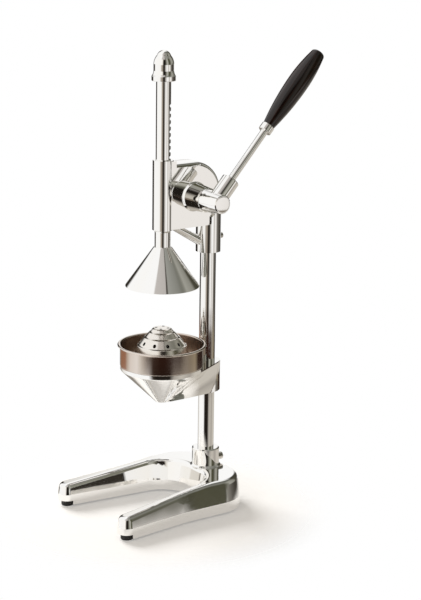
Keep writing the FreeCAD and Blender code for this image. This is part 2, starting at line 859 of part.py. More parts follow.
# Head: guide for the ram, gear housing, sleeve on the column, lever barrel and brace
def housing_rear():
    radius = room_radius + s.housing_wall
    corner_height = s.housing_rise - root(radius * radius - s.corner_run * s.corner_run)
    return [
        (s.corner_run - s.corner_round, housing_bottom),
        (s.corner_run, housing_bottom + s.corner_round, s.corner_round),
        (s.corner_run, corner_height),
        (radius, s.housing_rise, radius),
    ]


def make_head():
    body = new_body("head_casting", zero, gear_y, s.gear_height)
    plate = s.head_half_width - s.cover_thickness
    radius = room_radius + s.housing_wall
    lug_rear = s.lug_reach - gear_to_ram
    lug_top = s.guide_rise - s.lug_drop
    housing = new_sketch(body, "housing", "YZ_Plane", (zero, zero, -plate))
    outline(housing, [(-gear_to_ram, housing_bottom)] + housing_rear() + [
        (zero, housing_top, radius),
        (lug_rear, housing_top),
        (lug_rear, lug_top),
        (-gear_to_ram, lug_top),
    ])
    block = pad(body, housing, plate + s.head_half_width)
    doc.recompute()
    # the rim is rounded from the lug to the rear corner
    slack = s.seat_gap.value
    corner_height = housing_rear()[2][1].value - slack
    rim = []
    for name, edge in rim_edges(block.Shape, FreeCAD.Vector(1, 0, 0)):
        extent = edge.BoundBox
        behind_lug = extent.YMin > lug_rear.value - slack
        if behind_lug and extent.ZMin > corner_height and extent.ZMax < housing_top.value + slack:
            rim.append(name)
    round_edges(body, block, rim, s.housing_edge_radius)
    guide = new_sketch(body, "guide", "XY_Plane", (zero, zero, guide_bottom - s.gear_height))
    circles(guide, s.guide_diameter, [(zero, -gear_to_ram)])
    pad(body, guide, guide_top - guide_bottom)
    sleeve = new_sketch(body, "sleeve", "XY_Plane", (zero, zero, sleeve_bottom - s.gear_height))
    circles(sleeve, s.sleeve_diameter, [(zero, gear_to_column)])
    pad(body, sleeve, sleeve_top - sleeve_bottom)
    flush = new_sketch(body, "flush", "YZ_Plane", (zero, zero, s.head_half_width))
    outline(flush, [(zero, housing_bottom)] + housing_rear() + [(zero, s.housing_rise)])
    pocket(body, flush, s.sleeve_diameter)
    barrel = new_sketch(body, "barrel", "XY_Plane")
    barrel_root = s.barrel_root_diameter / 2
    barrel_tip = s.barrel_end_diameter / 2
    ring_end = s.head_half_width + s.barrel_ring_width
    cavity_side = s.gear_width / 2 + s.end_gap
    outline(barrel, [
        (cavity_side, zero),
        (s.barrel_end, zero),
        (s.barrel_end, barrel_tip - s.barrel_bevel),
        (s.barrel_end - s.barrel_bevel, barrel_tip),
        (ring_end, barrel_root),
        (ring_end, barrel_root + s.barrel_ring_rise),
        (cavity_side, barrel_root + s.barrel_ring_rise),
    ])
    turned(body, barrel, "H_Axis")
    # brace from under the housing down to the sleeve
    high_y = s.guide_diameter / 2 - gear_to_ram
    high_z = -s.brace_high_drop
    low_y = gear_to_column - s.brace_low_front
    low_z = -s.brace_low_drop
    run_y = low_y - high_y
    run_z = low_z - high_z
    run = root(run_y * run_y + run_z * run_z)
    across_y = -(run_z / run)
    across_z = run_y / run
    high_radius = s.brace_high_diameter / 2
    low_radius = s.brace_low_diameter / 2
    brace = new_sketch(body, "brace", "YZ_Plane")
    outline(brace, [
        (high_y, high_z),
        (low_y, low_z),
        (low_y + low_radius * across_y, low_z + low_radius * across_z),
        (high_y + high_radius * across_y, high_z + high_radius * across_z),
    ])
    turned(body, brace, "Edge2")
    # gear room, open on the far side, and the bores
    room = new_sketch(body, "room", "YZ_Plane", (zero, zero, -(plate + s.cut_margin)))
    circles(room, 2 * room_radius, [(zero, zero)])
    pocket(body, room, plate + s.cut_margin + cavity_side)
    below = guide_bottom - s.gear_height - s.brace_low_drop
    ram_bore = new_sketch(body, "ram_bore", "XY_Plane", (zero, zero, below))
    circles(ram_bore, s.ram_diameter + 2 * s.running_gap, [(zero, -gear_to_ram)])
    pocket(body, ram_bore, guide_top - guide_bottom + 2 * s.brace_low_drop)
    below = sleeve_bottom - s.gear_height - s.cut_margin
    column_hole = new_sketch(body, "column_hole", "XY_Plane", (zero, zero, below))
    circles(column_hole, column_bore, [(zero, gear_to_column)])
    pocket(body, column_hole, column_top - sleeve_bottom + s.cut_margin)
    bush_bore = new_sketch(body, "bush_bore", "YZ_Plane")
    circles(bush_bore, s.shaft_diameter + 2 * (s.bush_wall + s.seat_gap), [(zero, zero)])
    pocket(body, bush_bore, s.barrel_end + s.cut_margin)
    threads = new_sketch(body, "threads", "YZ_Plane", (zero, zero, -(plate + s.cut_margin)))
    circles(threads, s.cover_screw_diameter + 2 * s.seat_gap, cover_screw_places())
    pocket(body, threads, s.cover_screw_length - s.cover_thickness + 2 * s.cut_margin)
    screw_hole(body, head_screw_height - s.gear_height, s.sleeve_diameter / 2, gear_to_column)


# The cover's screws stand in the corners of the housing, clear of the gear room
def cover_screw_places():
    edge = s.cover_screw_head / 2 + s.cut_margin
    front = s.guide_diameter / 2 + edge - gear_to_ram
    rear = gear_to_column - s.sleeve_diameter / 2 - s.cut_margin
    return [(front, housing_top - edge), (front, housing_bottom + edge), (rear, housing_bottom + edge)]


def make_cover():
    body = new_body("gear_cover", zero, gear_y, s.gear_height)
    inner = s.head_half_width - s.cover_thickness
    guide = s.guide_diameter / 2
    front = root(guide * guide - inner * inner) + s.seat_gap - gear_to_ram
    sheet_plan = new_sketch(body, "plate", "YZ_Plane", (zero, zero, -s.head_half_width))
    radius = room_radius + s.housing_wall
    outline(sheet_plan, [(front, housing_bottom)] + housing_rear() + [
        (zero, housing_top, radius),
        (front, housing_top),
    ])
    pad(body, sheet_plan, s.cover_thickness)
    boss = new_sketch(body, "boss", "YZ_Plane", (zero, zero, -s.cover_boss_end))
    circles(boss, s.cover_boss_diameter, [(zero, zero)])
    pad(body, boss, s.cover_boss_end - inner)
    bore = new_sketch(body, "bore", "YZ_Plane", (zero, zero, -(s.cover_boss_end + s.cut_margin)))
    circles(bore, s.shaft_diameter + 2 * (s.bush_wall + s.seat_gap), [(zero, zero)])
    pocket(body, bore, s.cover_boss_end)
    holes = new_sketch(body, "holes", "YZ_Plane", (zero, zero, -(s.head_half_width + s.cut_margin)))
    circles(holes, s.cover_screw_diameter + 2 * s.running_gap, cover_screw_places())
    pocket(body, holes, s.cover_thickness + 2 * s.cut_margin)
    relief = new_sketch(body, "relief", "XY_Plane", (zero, zero, sleeve_bottom - s.gear_height))
    circles(relief, s.sleeve_diameter + 2 * s.seat_gap, [(zero, gear_to_column)])
    pocket(body, relief, s.sleeve_length + s.seat_gap)
    screws = new_body("cover_screws", zero, gear_y, s.gear_height)
    screws.AllowCompound = True
    head_side = s.head_half_width + s.cover_screw_head_height
    heads = new_sketch(screws, "heads", "YZ_Plane", (zero, zero, -head_side))
    circles(heads, s.cover_screw_head, cover_screw_places())
    pad(screws, heads, s.cover_screw_head_height)
    shanks = new_sketch(screws, "shanks", "YZ_Plane", (zero, zero, -s.head_half_width))
    circles(shanks, s.cover_screw_diameter, cover_screw_places())
    pad(screws, shanks, s.cover_screw_length)


def new_lever_body(label):
    return new_body(label, zero, gear_y, s.gear_height, lever_axis, s.lever_tilt)


# Length of round bar or tube along the gear axis
def bar_on_gear_axis(label, diameter, start, end, bore=None, with_lever=False):
    body = new_lever_body(label) if with_lever else new_body(label, zero, gear_y, s.gear_height)
    section = new_sketch(body, "section", "YZ_Plane", (zero, zero, start))
    circles(section, diameter, [(zero, zero)])
    if bore is not None:
        circles(section, bore, [(zero, zero)])
    pad(body, section, end - start)
    return body


def key_corners(slack):
    half = s.key_width / 2 + slack
    middle = s.shaft_diameter / 2
    return [
        (-half, middle - half),
        (half, middle - half),
        (half, middle + half),
        (-half, middle + half),
    ]


# Corners drawn in the lever's tilted frame, seen from the upright one
def tilted(corners):
    cos = cosine(s.lever_tilt)
    sin = sine(s.lever_tilt)
    return [(y * cos + z * sin, z * cos - y * sin) for y, z in corners]


def make_shaft():
    bush_bore = s.shaft_diameter + 2 * s.running_gap
    bush_outer = s.shaft_diameter + 2 * s.bush_wall
    cavity_side = s.gear_width / 2 + s.end_gap
    bar_on_gear_axis("barrel_bush", bush_outer, cavity_side, s.barrel_end, bush_bore)
    cover_inner = s.head_half_width - s.cover_thickness
    bar_on_gear_axis("cover_bush", bush_outer, -s.cover_boss_end, -cover_inner, bush_bore)
    shaft_end = s.cover_boss_end + s.end_gap
    hub_start = s.barrel_end + s.end_gap
    hub_side = hub_start + s.hub_shaft_depth
    shaft = bar_on_gear_axis("gear_shaft", s.shaft_diameter, -shaft_end, hub_side, with_lever=True)
    slot = new_sketch(shaft, "slot", "YZ_Plane", (zero, zero, -s.key_length / 2))
    outline(slot, key_corners(s.seat_gap))
    pocket(shaft, slot, s.key_length)
    thread = new_sketch(shaft, "thread", "YZ_Plane", (zero, zero, -(shaft_end + s.cut_margin)))
    circles(thread, s.shaft_screw_diameter + 2 * s.seat_gap, [(zero, zero)])
    pocket(shaft, thread, s.shaft_screw_length + s.cut_margin)
    pin_hole(shaft)
    key = new_lever_body("gear_key")
    bar = new_sketch(key, "bar", "YZ_Plane", (zero, zero, -s.key_length / 2))
    outline(bar, key_corners(zero))
    pad(key, bar, s.key_length)
    washer_bore = s.shaft_screw_diameter + 2 * s.running_gap
    washer_end = shaft_end + s.washer_thickness
    bar_on_gear_axis("shaft_washer", s.washer_diameter, -washer_end, -shaft_end, washer_bore)
    head_end = washer_end + s.shaft_screw_head_height
    screw = bar_on_gear_axis("shaft_screw", s.shaft_screw_head, -head_end, -washer_end)
    shank = new_sketch(screw, "shank", "YZ_Plane", (zero, zero, -washer_end))
    circles(shank, s.shaft_screw_diameter, [(zero, zero)])
    pad(screw, shank, s.shaft_screw_length)


# Gear: an involute tooth gap faces the rack, and its copies go all round
def make_gear():
    outer_radius = pitch_radius + s.gear_module
    side = s.gear_width / 2
    body = bar_on_gear_axis("drive_gear", 2 * outer_radius, -side, side)
    hub_length = s.head_half_width - s.cover_thickness - s.end_gap
    hub = new_sketch(body, "hub", "YZ_Plane", (zero, zero, -hub_length))
    circles(hub, s.gear_hub_diameter, [(zero, zero)])
    pad(body, hub, hub_length)
    base_radius = pitch_radius * cosine(s.pressure_angle)
    root_radius = pitch_radius - s.gear_module * (1 + s.root_clearance)
    radian = 180 / math.pi
    half_gap = 90 / s.gear_teeth - tangent(s.pressure_angle) * radian + s.pressure_angle
    tip_angle = arc_cosine(base_radius / outer_radius)
    tip_gap = half_gap + tangent(tip_angle) * radian - tip_angle
    flank = pitch_radius * sine(s.pressure_angle)
    tip_y = -(outer_radius * cosine(tip_gap))
    tip_z = outer_radius * sine(tip_gap)
    base_y = -(base_radius * cosine(half_gap))
    base_z = base_radius * sine(half_gap)
    root_z = root_radius * sine(half_gap)
    outside = -(outer_radius + s.cut_margin)
    gap = new_sketch(body, "gap", "YZ_Plane", (zero, zero, -(side + s.cut_margin)))
    outline(gap, [
        (outside, tip_z),
        (outside, -tip_z),
        (tip_y, -tip_z),
        (base_y, -base_z, -flank),
        (-root_radius, -root_z),
        (-root_radius, root_z),
        (base_y, base_z),
        (tip_y, tip_z, -flank),
    ])
    cut = pocket(body, gap, s.gear_width + 2 * s.cut_margin)
    pattern_round(body, cut, gap, s.gear_teeth)
    bore = new_sketch(body, "bore", "YZ_Plane", (zero, zero, -s.head_half_width))
    circles(bore, s.shaft_diameter + 2 * s.seat_gap, [(zero, zero)])
    pocket(body, bore, 2 * s.head_half_width)
    slot = new_sketch(body, "slot", "YZ_Plane", (zero, zero, -s.head_half_width))
    outline(slot, tilted(key_corners(s.seat_gap)))
    pocket(body, slot, 2 * s.head_half_width)


# Hole for the cross pin that holds the lever hub on its shaft
def pin_hole(body):
    pin_x = s.barrel_end + s.end_gap + s.hub_pin_inset
    hole = new_sketch(body, "pin_hole", "XZ_Plane")
    circles(hole, s.hub_pin_diameter + 2 * s.seat_gap, [(pin_x, zero)])
    pocket(body, hole, 2 * s.hub_root_diameter, symmetric=True)


def make_lever():
    hub_start = s.barrel_end + s.end_gap
    hub = new_lever_body("lever_hub")
    hub_root = s.hub_root_diameter / 2
    hub_tip = s.hub_end_diameter / 2
    spindle = new_sketch(hub, "spindle", "XZ_Plane")
    outline(spindle, [
        (hub_start, zero),
        (s.hub_end, zero),
        (s.hub_end, hub_tip - s.hub_bevel),
        (s.hub_end - s.hub_bevel, hub_tip),
        (hub_start + s.hub_bevel, hub_root),
        (hub_start, hub_root - s.hub_bevel),
    ])
    turned(hub, spindle, "H_Axis")
    socket = new_sketch(hub, "socket", "XZ_Plane", (s.lever_offset, zero, zero))
    socket_radius = s.socket_diameter / 2
    outline(socket, [
        (zero, zero),
        (socket_radius, zero),
        (socket_radius, s.socket_reach - s.socket_bevel),
        (socket_radius - s.socket_bevel, s.socket_reach),
        (zero, s.socket_reach),
    ])
    turned(hub, socket)
    bore = new_sketch(hub, "bore", "YZ_Plane", (zero, zero, hub_start - s.cut_margin))
    circles(bore, s.shaft_diameter + 2 * s.seat_gap, [(zero, zero)])
    pocket(hub, bore, s.hub_shaft_depth + s.cut_margin)
    rod_bore = new_sketch(hub, "rod_bore", "XY_Plane", (zero, zero, s.rod_seat))
    circles(rod_bore, s.rod_diameter + 2 * s.seat_gap, [(s.lever_offset, zero)])
    pocket(hub, rod_bore, s.socket_reach)
    recess = new_sketch(hub, "recess", "YZ_Plane", (zero, zero, s.hub_end - s.hub_cap_depth))
    circles(recess, s.hub_cap_diameter + 2 * s.seat_gap, [(zero, zero)])
    pocket(hub, recess, s.hub_cap_depth + s.cut_margin)
    pin_hole(hub)
    cap = new_lever_body("hub_cap")
    disc = new_sketch(cap, "disc", "XZ_Plane")
    cap_radius = s.hub_cap_diameter / 2
    dome = s.hub_cap_dome
    dome_arc = (cap_radius * cap_radius + dome * dome) / (2 * dome)
    outline(disc, [
        (s.hub_end - s.hub_cap_depth, zero),
        (s.hub_end, zero),
        (s.hub_end - dome, cap_radius, dome_arc),
        (s.hub_end - s.hub_cap_depth, cap_radius),
    ])
    turned(cap, disc, "H_Axis")
    pin = new_lever_body("hub_pin")
    section = new_sketch(pin, "section", "XZ_Plane")
    circles(section, s.hub_pin_diameter, [(hub_start + s.hub_pin_inset, zero)])
    pad(pin, section, s.hub_root_diameter - 2 * s.hub_bevel, symmetric=True)


def turned_on_lever(label, corners):
    turned_piece(label, corners, s.lever_offset, gear_y, s.gear_height, lever_axis, s.lever_tilt)


def make_handle():
    rod = s.rod_diameter / 2
    bore = rod + s.seat_gap
    rod_end = s.ferrule_end + s.rod_tail
    turned_on_lever("lever_rod", [
        (zero, s.rod_seat),
        (rod, s.rod_seat),
        (rod, rod_end),
        (zero, rod_end),
    ])
    ferrule = s.ferrule_diameter / 2
    turned_on_lever("handle_ferrule", [
        (bore, s.ferrule_start),
        (ferrule - s.ferrule_bevel, s.ferrule_start),
        (ferrule, s.ferrule_start + s.ferrule_bevel),
        (ferrule, s.ferrule_end - s.ferrule_bevel),
        (ferrule - s.ferrule_bevel, s.ferrule_end),
        (bore, s.ferrule_end),
    ])
    # the grip swells from its neck to a belly and ends flat, with a rounded corner
    neck = s.grip_neck_diameter / 2
    belly = s.grip_belly_diameter / 2
    belly_at = s.ferrule_end + s.grip_belly_at
    swell = belly - neck
    rear_run = grip_round_at - belly_at
    taper = belly - s.grip_end_radius
    neck_arc = (s.grip_belly_at * s.grip_belly_at + swell * swell) / (2 * swell)
    rear_arc = (rear_run * rear_run + taper * taper) / (2 * taper)
    slack = s.seat_gap
    turned_on_lever("handle_grip", [
        (bore, s.ferrule_end),
        (neck, s.ferrule_end),
        (belly, belly_at, neck_arc),
        (s.grip_end_radius, grip_round_at, rear_arc),
        (grip_flat, s.lever_length, s.grip_corner),
        (zero, s.lever_length),
        (zero, rod_end + slack),
        (bore, rod_end + slack),
    ])


# Ram: a round bar with rack teeth cut in its rear side
def make_ram():
    bar = s.ram_diameter / 2
    spigot = s.ram_spigot_diameter / 2
    shoulder = cone_hub_top
    ram = turned_piece("ram_rack", [
        (zero, shoulder - s.ram_spigot_length),
        (spigot, shoulder - s.ram_spigot_length),
        (spigot, shoulder),
        (bar, shoulder),
        (bar, ram_top),
        (zero, ram_top),
    ], zero, ram_y, zero)
    pitch = math.pi * s.gear_module
    lowest = s.gear_height - (s.rack_gaps_below + 0.5) * pitch
    highest = lowest + (s.rack_gaps - 1) * pitch
    outside = bar + s.cut_margin
    flat = new_sketch(ram, "flat", "YZ_Plane")
    outline(flat, [
        (s.rack_flat, lowest - pitch / 2),
        (outside, lowest - pitch / 2),
        (outside, highest + pitch / 2),
        (s.rack_flat, highest + pitch / 2),
    ])
    pocket(ram, flat, 2 * s.ram_diameter, symmetric=True)
    flank = tangent(s.pressure_angle)
    half = (pitch / 2 + s.backlash) / 2
    mouth = half + flank * s.gear_module
    depth = s.gear_module * (1 + s.root_clearance)
    floor = half - flank * depth
    gap = new_sketch(ram, "gap", "YZ_Plane")
    outline(gap, [
        (rack_line - depth, lowest - floor),
        (s.rack_flat, lowest - mouth),
        (outside, lowest - mouth),
        (outside, lowest + mouth),
        (s.rack_flat, lowest + mouth),
        (rack_line - depth, lowest + floor),
    ])
    cut = pocket(ram, gap, 2 * s.ram_diameter, symmetric=True)
    teeth = ram.newObject("PartDesign::LinearPattern", "ram_rack_teeth")
    teeth.Originals = [cut]
    teeth.Direction = (gap, ["V_Axis"])
    bind(teeth, "Length", highest - lowest)
    bind(teeth, "Occurrences", s.rack_gaps)
    ram.Tip = teeth
    below = shoulder - s.ram_spigot_length - s.cut_margin
    thread = new_sketch(ram, "thread", "XY_Plane", (zero, zero, below))
    circles(thread, s.cone_screw_diameter + 2 * s.seat_gap, [(zero, zero)])
    pocket(ram, thread, s.cone_screw_length - s.cone_web + 2 * s.cut_margin)


def make_cap():
    flange = s.cap_flange_diameter / 2
    waist = s.cap_waist_diameter / 2
    bore = s.ram_diameter / 2 + s.seat_gap
    depth = s.cap_depth
    foot = s.cap_flange_height + s.collar_bevel
    lip = s.collar_bevel / 2
    waist_run = s.cap_waist_at - foot
    flare = flange - s.collar_bevel - waist
    flare_arc = (waist_run * waist_run + flare * flare) / (2 * flare)
    brow_rise = s.cap_brow_at - s.cap_shoulder_at
    brow_in = waist - s.cap_brow_radius
    brow_arc = (brow_rise * brow_rise + brow_in * brow_in) / (2 * brow_in)
    crown_rise = s.cap_height - s.cap_brow_at
    crown_arc = (crown_rise * crown_rise + s.cap_brow_radius * s.cap_brow_radius) / (2 * crown_rise)
    turned_piece("ram_cap", [
        (bore, zero),
        (flange - lip, zero),
        (flange, lip),
        (flange, s.cap_flange_height - lip),
        (flange - lip, s.cap_flange_height),
        (flange - s.collar_bevel, foot),
        (waist, s.cap_waist_at, -flare_arc),
        (waist, s.cap_shoulder_at),
        (s.cap_brow_radius, s.cap_brow_at, brow_arc),
        (zero, s.cap_height, crown_arc),
        (zero, depth),
        (bore, depth),
    ], zero, ram_y, ram_top - s.cap_depth)


def make_cone():
    hub = s.cone_hub_diameter / 2
    top = s.cone_top_diameter / 2
    rim = s.cone_rim_diameter / 2
    spigot = s.ram_spigot_diameter / 2 + s.seat_gap
    spigot_floor = cone_hub_top - s.ram_spigot_length - s.end_gap
    ceiling = spigot_floor - s.cone_web
    slope = (rim - top) / (cone_top - cone_rim)
    ceiling_radius = top - s.cone_wall + (cone_top - ceiling) * slope
    screw_bore = s.cone_screw_diameter / 2 + s.running_gap
    turned_piece("press_cone", [
        (screw_bore, ceiling),
        (ceiling_radius, ceiling),
        (rim - s.cone_wall, cone_rim),
        (rim, cone_rim),
        (top, cone_top),
        (hub, cone_top),
        (hub, cone_hub_top),
        (spigot, cone_hub_top),
        (spigot, spigot_floor),
        (screw_bore, spigot_floor),
    ], zero, ram_y, zero)
    screw = s.cone_screw_diameter / 2
    head = s.cone_screw_head / 2
    turned_piece("cone_screw", [
        (zero, ceiling - s.cone_screw_head_height),
        (head, ceiling - s.cone_screw_head_height),
        (head, ceiling),
        (screw, ceiling),
        (screw, ceiling + s.cone_screw_length),
        (zero, ceiling + s.cone_screw_length),
    ], zero, ram_y, zero)


make_base()
make_feet()
make_column()
make_clamp_screw("base_set_screw", base_screw_height, s.collar_diameter, s.clamp_head_diameter,
                 s.clamp_head_length)
make_clamp_screw("head_set_screw", head_screw_height, s.sleeve_diameter, s.small_clamp_head,
                 s.small_clamp_length)
make_clamp_screw("holder_set_screw", holder_screw_height, s.holder_sleeve_diameter)
make_holder()
make_cup()
make_reamer()
make_head()
make_cover()
make_shaft()
make_gear()
make_lever()
make_handle()
make_ram()
make_cap()
make_cone()

# Nothing is written unless every object is sound
doc.recompute()
for item in doc.Objects:
    if "Invalid" in item.State or "Error" in item.State:
        raise RuntimeError(f"{item.Name} failed: {item.State}")
for piece in pieces:
    if piece.Shape.isNull() or not piece.Shape.isValid():
        raise RuntimeError(f"{piece.Label} has no sound shape")

os.makedirs("parts", exist_ok=True)
for piece in pieces:
    piece.Shape.exportStep(f"parts/{piece.Label}.step")
    print(piece.Label, len(piece.Shape.Solids), round(piece.Shape.Volume, 1))
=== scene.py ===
import json
import math

import bpy
from mathutils import Matrix, Vector


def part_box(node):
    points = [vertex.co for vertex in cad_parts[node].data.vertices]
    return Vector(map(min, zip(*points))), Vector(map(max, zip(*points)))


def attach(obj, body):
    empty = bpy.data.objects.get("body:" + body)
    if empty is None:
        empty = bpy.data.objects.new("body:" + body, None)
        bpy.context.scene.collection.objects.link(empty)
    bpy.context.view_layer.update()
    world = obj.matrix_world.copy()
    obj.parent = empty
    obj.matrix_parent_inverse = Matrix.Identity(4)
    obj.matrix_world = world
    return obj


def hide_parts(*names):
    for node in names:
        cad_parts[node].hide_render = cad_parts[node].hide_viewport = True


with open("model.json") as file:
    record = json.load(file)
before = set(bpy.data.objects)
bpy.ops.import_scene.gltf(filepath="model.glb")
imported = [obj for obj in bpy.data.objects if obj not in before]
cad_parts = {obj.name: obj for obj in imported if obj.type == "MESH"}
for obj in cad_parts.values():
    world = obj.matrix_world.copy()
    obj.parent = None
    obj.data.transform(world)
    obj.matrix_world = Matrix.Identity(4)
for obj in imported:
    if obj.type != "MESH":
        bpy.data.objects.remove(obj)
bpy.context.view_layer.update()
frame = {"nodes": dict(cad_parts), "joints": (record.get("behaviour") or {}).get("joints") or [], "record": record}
cadNodes = frame["nodes"]
print("frame loaded:", len(cadNodes), "nodes")

# Piece sizes below are in millimetres and angles in degrees, and the axes come from the frame
mm = 0.001
mergeGap = 0.01 * mm  # points nearer than this are one point
flatAngle = 0.5  # triangles that differ by less are one flat face
sharpAngle = 35  # edges that turn by more get a small round
roundSteps = 96  # segments round a turned piece
leverLean = 41.8  # how far the resting lever leans back


def middle(node):
    low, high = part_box(node)
    return (low + high) / 2


def upright(node):
    centre = middle(node)
    return Vector((centre.x, centre.y, 0))


columnAxis = upright("column")
ramAxis = upright("press_cone")
leverJoint = next(joint for joint in frame["joints"] if joint["name"] == "lever_turn")
gearAxis = Vector(leverJoint["pos_m"])
hubAxis = Vector((0, gearAxis.y, gearAxis.z))
leverFoot = gearAxis + Vector((middle("lever_rod").x, 0, 0))
alongLever = (math.radians(-leverLean), 0, 0)
sideways = (0, math.radians(90), 0)
backwards = (math.radians(-90), 0, 0)


# Selection and modelling steps
def freshSelection():
    if bpy.context.object is not None and bpy.context.object.mode != "OBJECT":
        bpy.ops.object.mode_set(mode="OBJECT")
    bpy.ops.object.select_all(action="DESELECT")


def makeActive(piece):
    freshSelection()
    piece.select_set(True)
    bpy.context.view_layer.objects.active = piece


def applyModifier(piece, kind, **settings):
    makeActive(piece)
    modifier = piece.modifiers.new(kind.lower(), kind)
    for key, value in settings.items():
        setattr(modifier, key, value)
    bpy.ops.object.modifier_apply(modifier=modifier.name)


def cleanMesh(piece, joinFlats=False):
    makeActive(piece)
    bpy.ops.object.mode_set(mode="EDIT")
    bpy.ops.mesh.select_all(action="SELECT")
    bpy.ops.mesh.remove_doubles(threshold=mergeGap)
    if joinFlats:
        bpy.ops.mesh.dissolve_limited(angle_limit=math.radians(flatAngle))
    bpy.ops.mesh.normals_make_consistent(inside=False)
    bpy.ops.object.mode_set(mode="OBJECT")


# Points of an arc from one profile point to the next; a negative radius turns clockwise
def sweep(start, end, radius, count):
    chord = math.dist(start, end)
    side = math.copysign(1, radius)
    rise = side * math.sqrt(max(radius ** 2 - chord ** 2 / 4, 0))
    centreX = (start[0] + end[0]) / 2 - rise * (end[1] - start[1]) / chord
    centreZ = (start[1] + end[1]) / 2 + rise * (end[0] - start[0]) / chord
    first = math.atan2(start[1] - centreZ, start[0] - centreX)
    last = math.atan2(end[1] - centreZ, end[0] - centreX)
    turn = side * ((side * (last - first)) % math.tau)
    angles = [first + turn * step / count for step in range(1, count + 1)]
    reach = abs(radius)
    return [(centreX + reach * math.cos(a), centreZ + reach * math.sin(a)) for a in angles]


# Radius of an arc that leaves a straight stretch squarely and ends aside of it
def easedRadius(along, aside):
    return (along ** 2 + aside ** 2) / (2 * aside)


# Spins a profile of (radius, height) points about an upright axis, then turns and places it
def turned(name, profile, place, turn=(0, 0, 0), steps=roundSteps):
    freshSelection()
    bpy.ops.mesh.primitive_plane_add(size=mm)
    piece = bpy.context.object
    piece.name = name
    bpy.ops.object.mode_set(mode="EDIT")
    bpy.ops.mesh.merge(type="CENTER")
    here = profile[0]
    bpy.ops.transform.translate(value=(here[0] * mm, 0, here[1] * mm))
    for point in profile[1:]:
        step = ((point[0] - here[0]) * mm, 0, (point[1] - here[1]) * mm)
        bpy.ops.mesh.extrude_region_move(TRANSFORM_OT_translate={"value": step})
        here = point
    bpy.ops.mesh.select_all(action="SELECT")
    bpy.ops.mesh.spin(steps=steps, angle=math.tau, center=(0, 0, 0), axis=(0, 0, 1))
    cleanMesh(piece)
    piece.rotation_euler = turn
    piece.location = place
    bpy.ops.object.transform_apply(location=True, rotation=True, scale=True)
    return piece


# A merged copy of a CAD solid, for the castings
def castFrom(node, name):
    piece = bpy.data.objects.new(name, cadNodes[node].data.copy())
    bpy.context.scene.collection.objects.link(piece)
    makeActive(piece)
    bpy.ops.mesh.customdata_custom_splitnormals_clear()
    cleanMesh(piece, joinFlats=True)
    return piece


# Small rounds on the sharp edges, and shading that keeps flat faces flat
def softened(piece, edge, segments=3):
    applyModifier(piece, "BEVEL", width=edge * mm, segments=segments, limit_method="ANGLE",
                  angle_limit=math.radians(sharpAngle), use_clamp_overlap=True)
    bpy.ops.object.shade_smooth_by_angle(angle=math.radians(sharpAngle))
    applyModifier(piece, "WEIGHTED_NORMAL", keep_sharp=True)
    return piece


def drill(place, radius, length, turn=(0, 0, 0), sides=32):
    freshSelection()
    bpy.ops.mesh.primitive_cylinder_add(vertices=sides, radius=radius * mm, depth=length * mm,
                                        location=place, rotation=turn)
    return bpy.context.object


def cutAway(piece, cutters):
    makeActive(cutters[0])
    for cutter in cutters:
        cutter.select_set(True)
    if len(cutters) > 1:
        bpy.ops.object.join()
    tool = bpy.context.object
    applyModifier(piece, "BOOLEAN", operation="DIFFERENCE", solver="EXACT", object=tool)
    makeActive(tool)
    bpy.ops.object.delete()
    cleanMesh(piece)
    return piece


def dressed(piece, body, slotName, *nodes):
    piece.data.materials.clear()
    piece.data.materials.append(materials[slotName])
    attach(piece, body)
    if nodes:
        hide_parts(*nodes)
    return piece


# Material steps
def colour(hexCode):
    shares = [int(hexCode[place:place + 2], 16) / 255 for place in (1, 3, 5)]
    linear = [v / 12.92 if v <= 0.04045 else ((v + 0.055) / 1.055) ** 2.4 for v in shares]
    return (*linear, 1)


# Adds a node; an input is named by its socket, or by its number after an underscore
def addNode(tree, kind, settings=None, **inputs):
    node = tree.nodes.new(kind)
    for key, value in (settings or {}).items():
        setattr(node, key, value)
    for key, value in inputs.items():
        numbered = key[1:].isdigit()
        socket = node.inputs[int(key[1:]) if numbered else key.replace("_", " ")]
        if isinstance(value, bpy.types.NodeSocket):
            tree.links.new(value, socket)
        else:
            socket.default_value = value
    return node


def newMaterial(name):
    material = bpy.data.materials.new(name)
    material.use_nodes = True
    tree = material.node_tree
    return material, tree, tree.nodes["Principled BSDF"]


def asMetal(shader, tone):
    shader.inputs["Base Color"].default_value = colour(tone)
    shader.inputs["Metallic"].default_value = 1


# Pattern coordinates in grains of the given millimetres, measured from a place
def patternSpace(tree, place, grain, turn=(0, 0, 0)):
    coordinates = addNode(tree, "ShaderNodeTexCoord")
    mapping = addNode(tree, "ShaderNodeMapping", {"vector_type": "TEXTURE"},
                      Vector=coordinates.outputs["Object"], Location=place, Rotation=turn,
                      Scale=tuple(size * mm for size in grain))
    return mapping.outputs["Vector"]


def ramp(tree, factor, stops):
    node = addNode(tree, "ShaderNodeValToRGB", Fac=factor)
    elements = node.color_ramp.elements
    while len(elements) < len(stops):
        elements.new(0.5)
    for element, (place, hexCode) in zip(elements, stops):
        element.position = place
        element.color = colour(hexCode)
    return node.outputs["Color"]


def spread(tree, value, low, high):
    node = addNode(tree, "ShaderNodeMapRange", Value=value, To_Min=low, To_Max=high)
    return node.outputs["Result"]


# Polished plate: a clear mirror whose gentle waviness bends the reflected edges
chromeFinish = {
    "tone": "#F8F7F5", "rough": (0.02, 0.07),
    "wave": 35, "waveDepth": 0.6, "waveStrength": 0.12, "hazePerWave": 6,
}


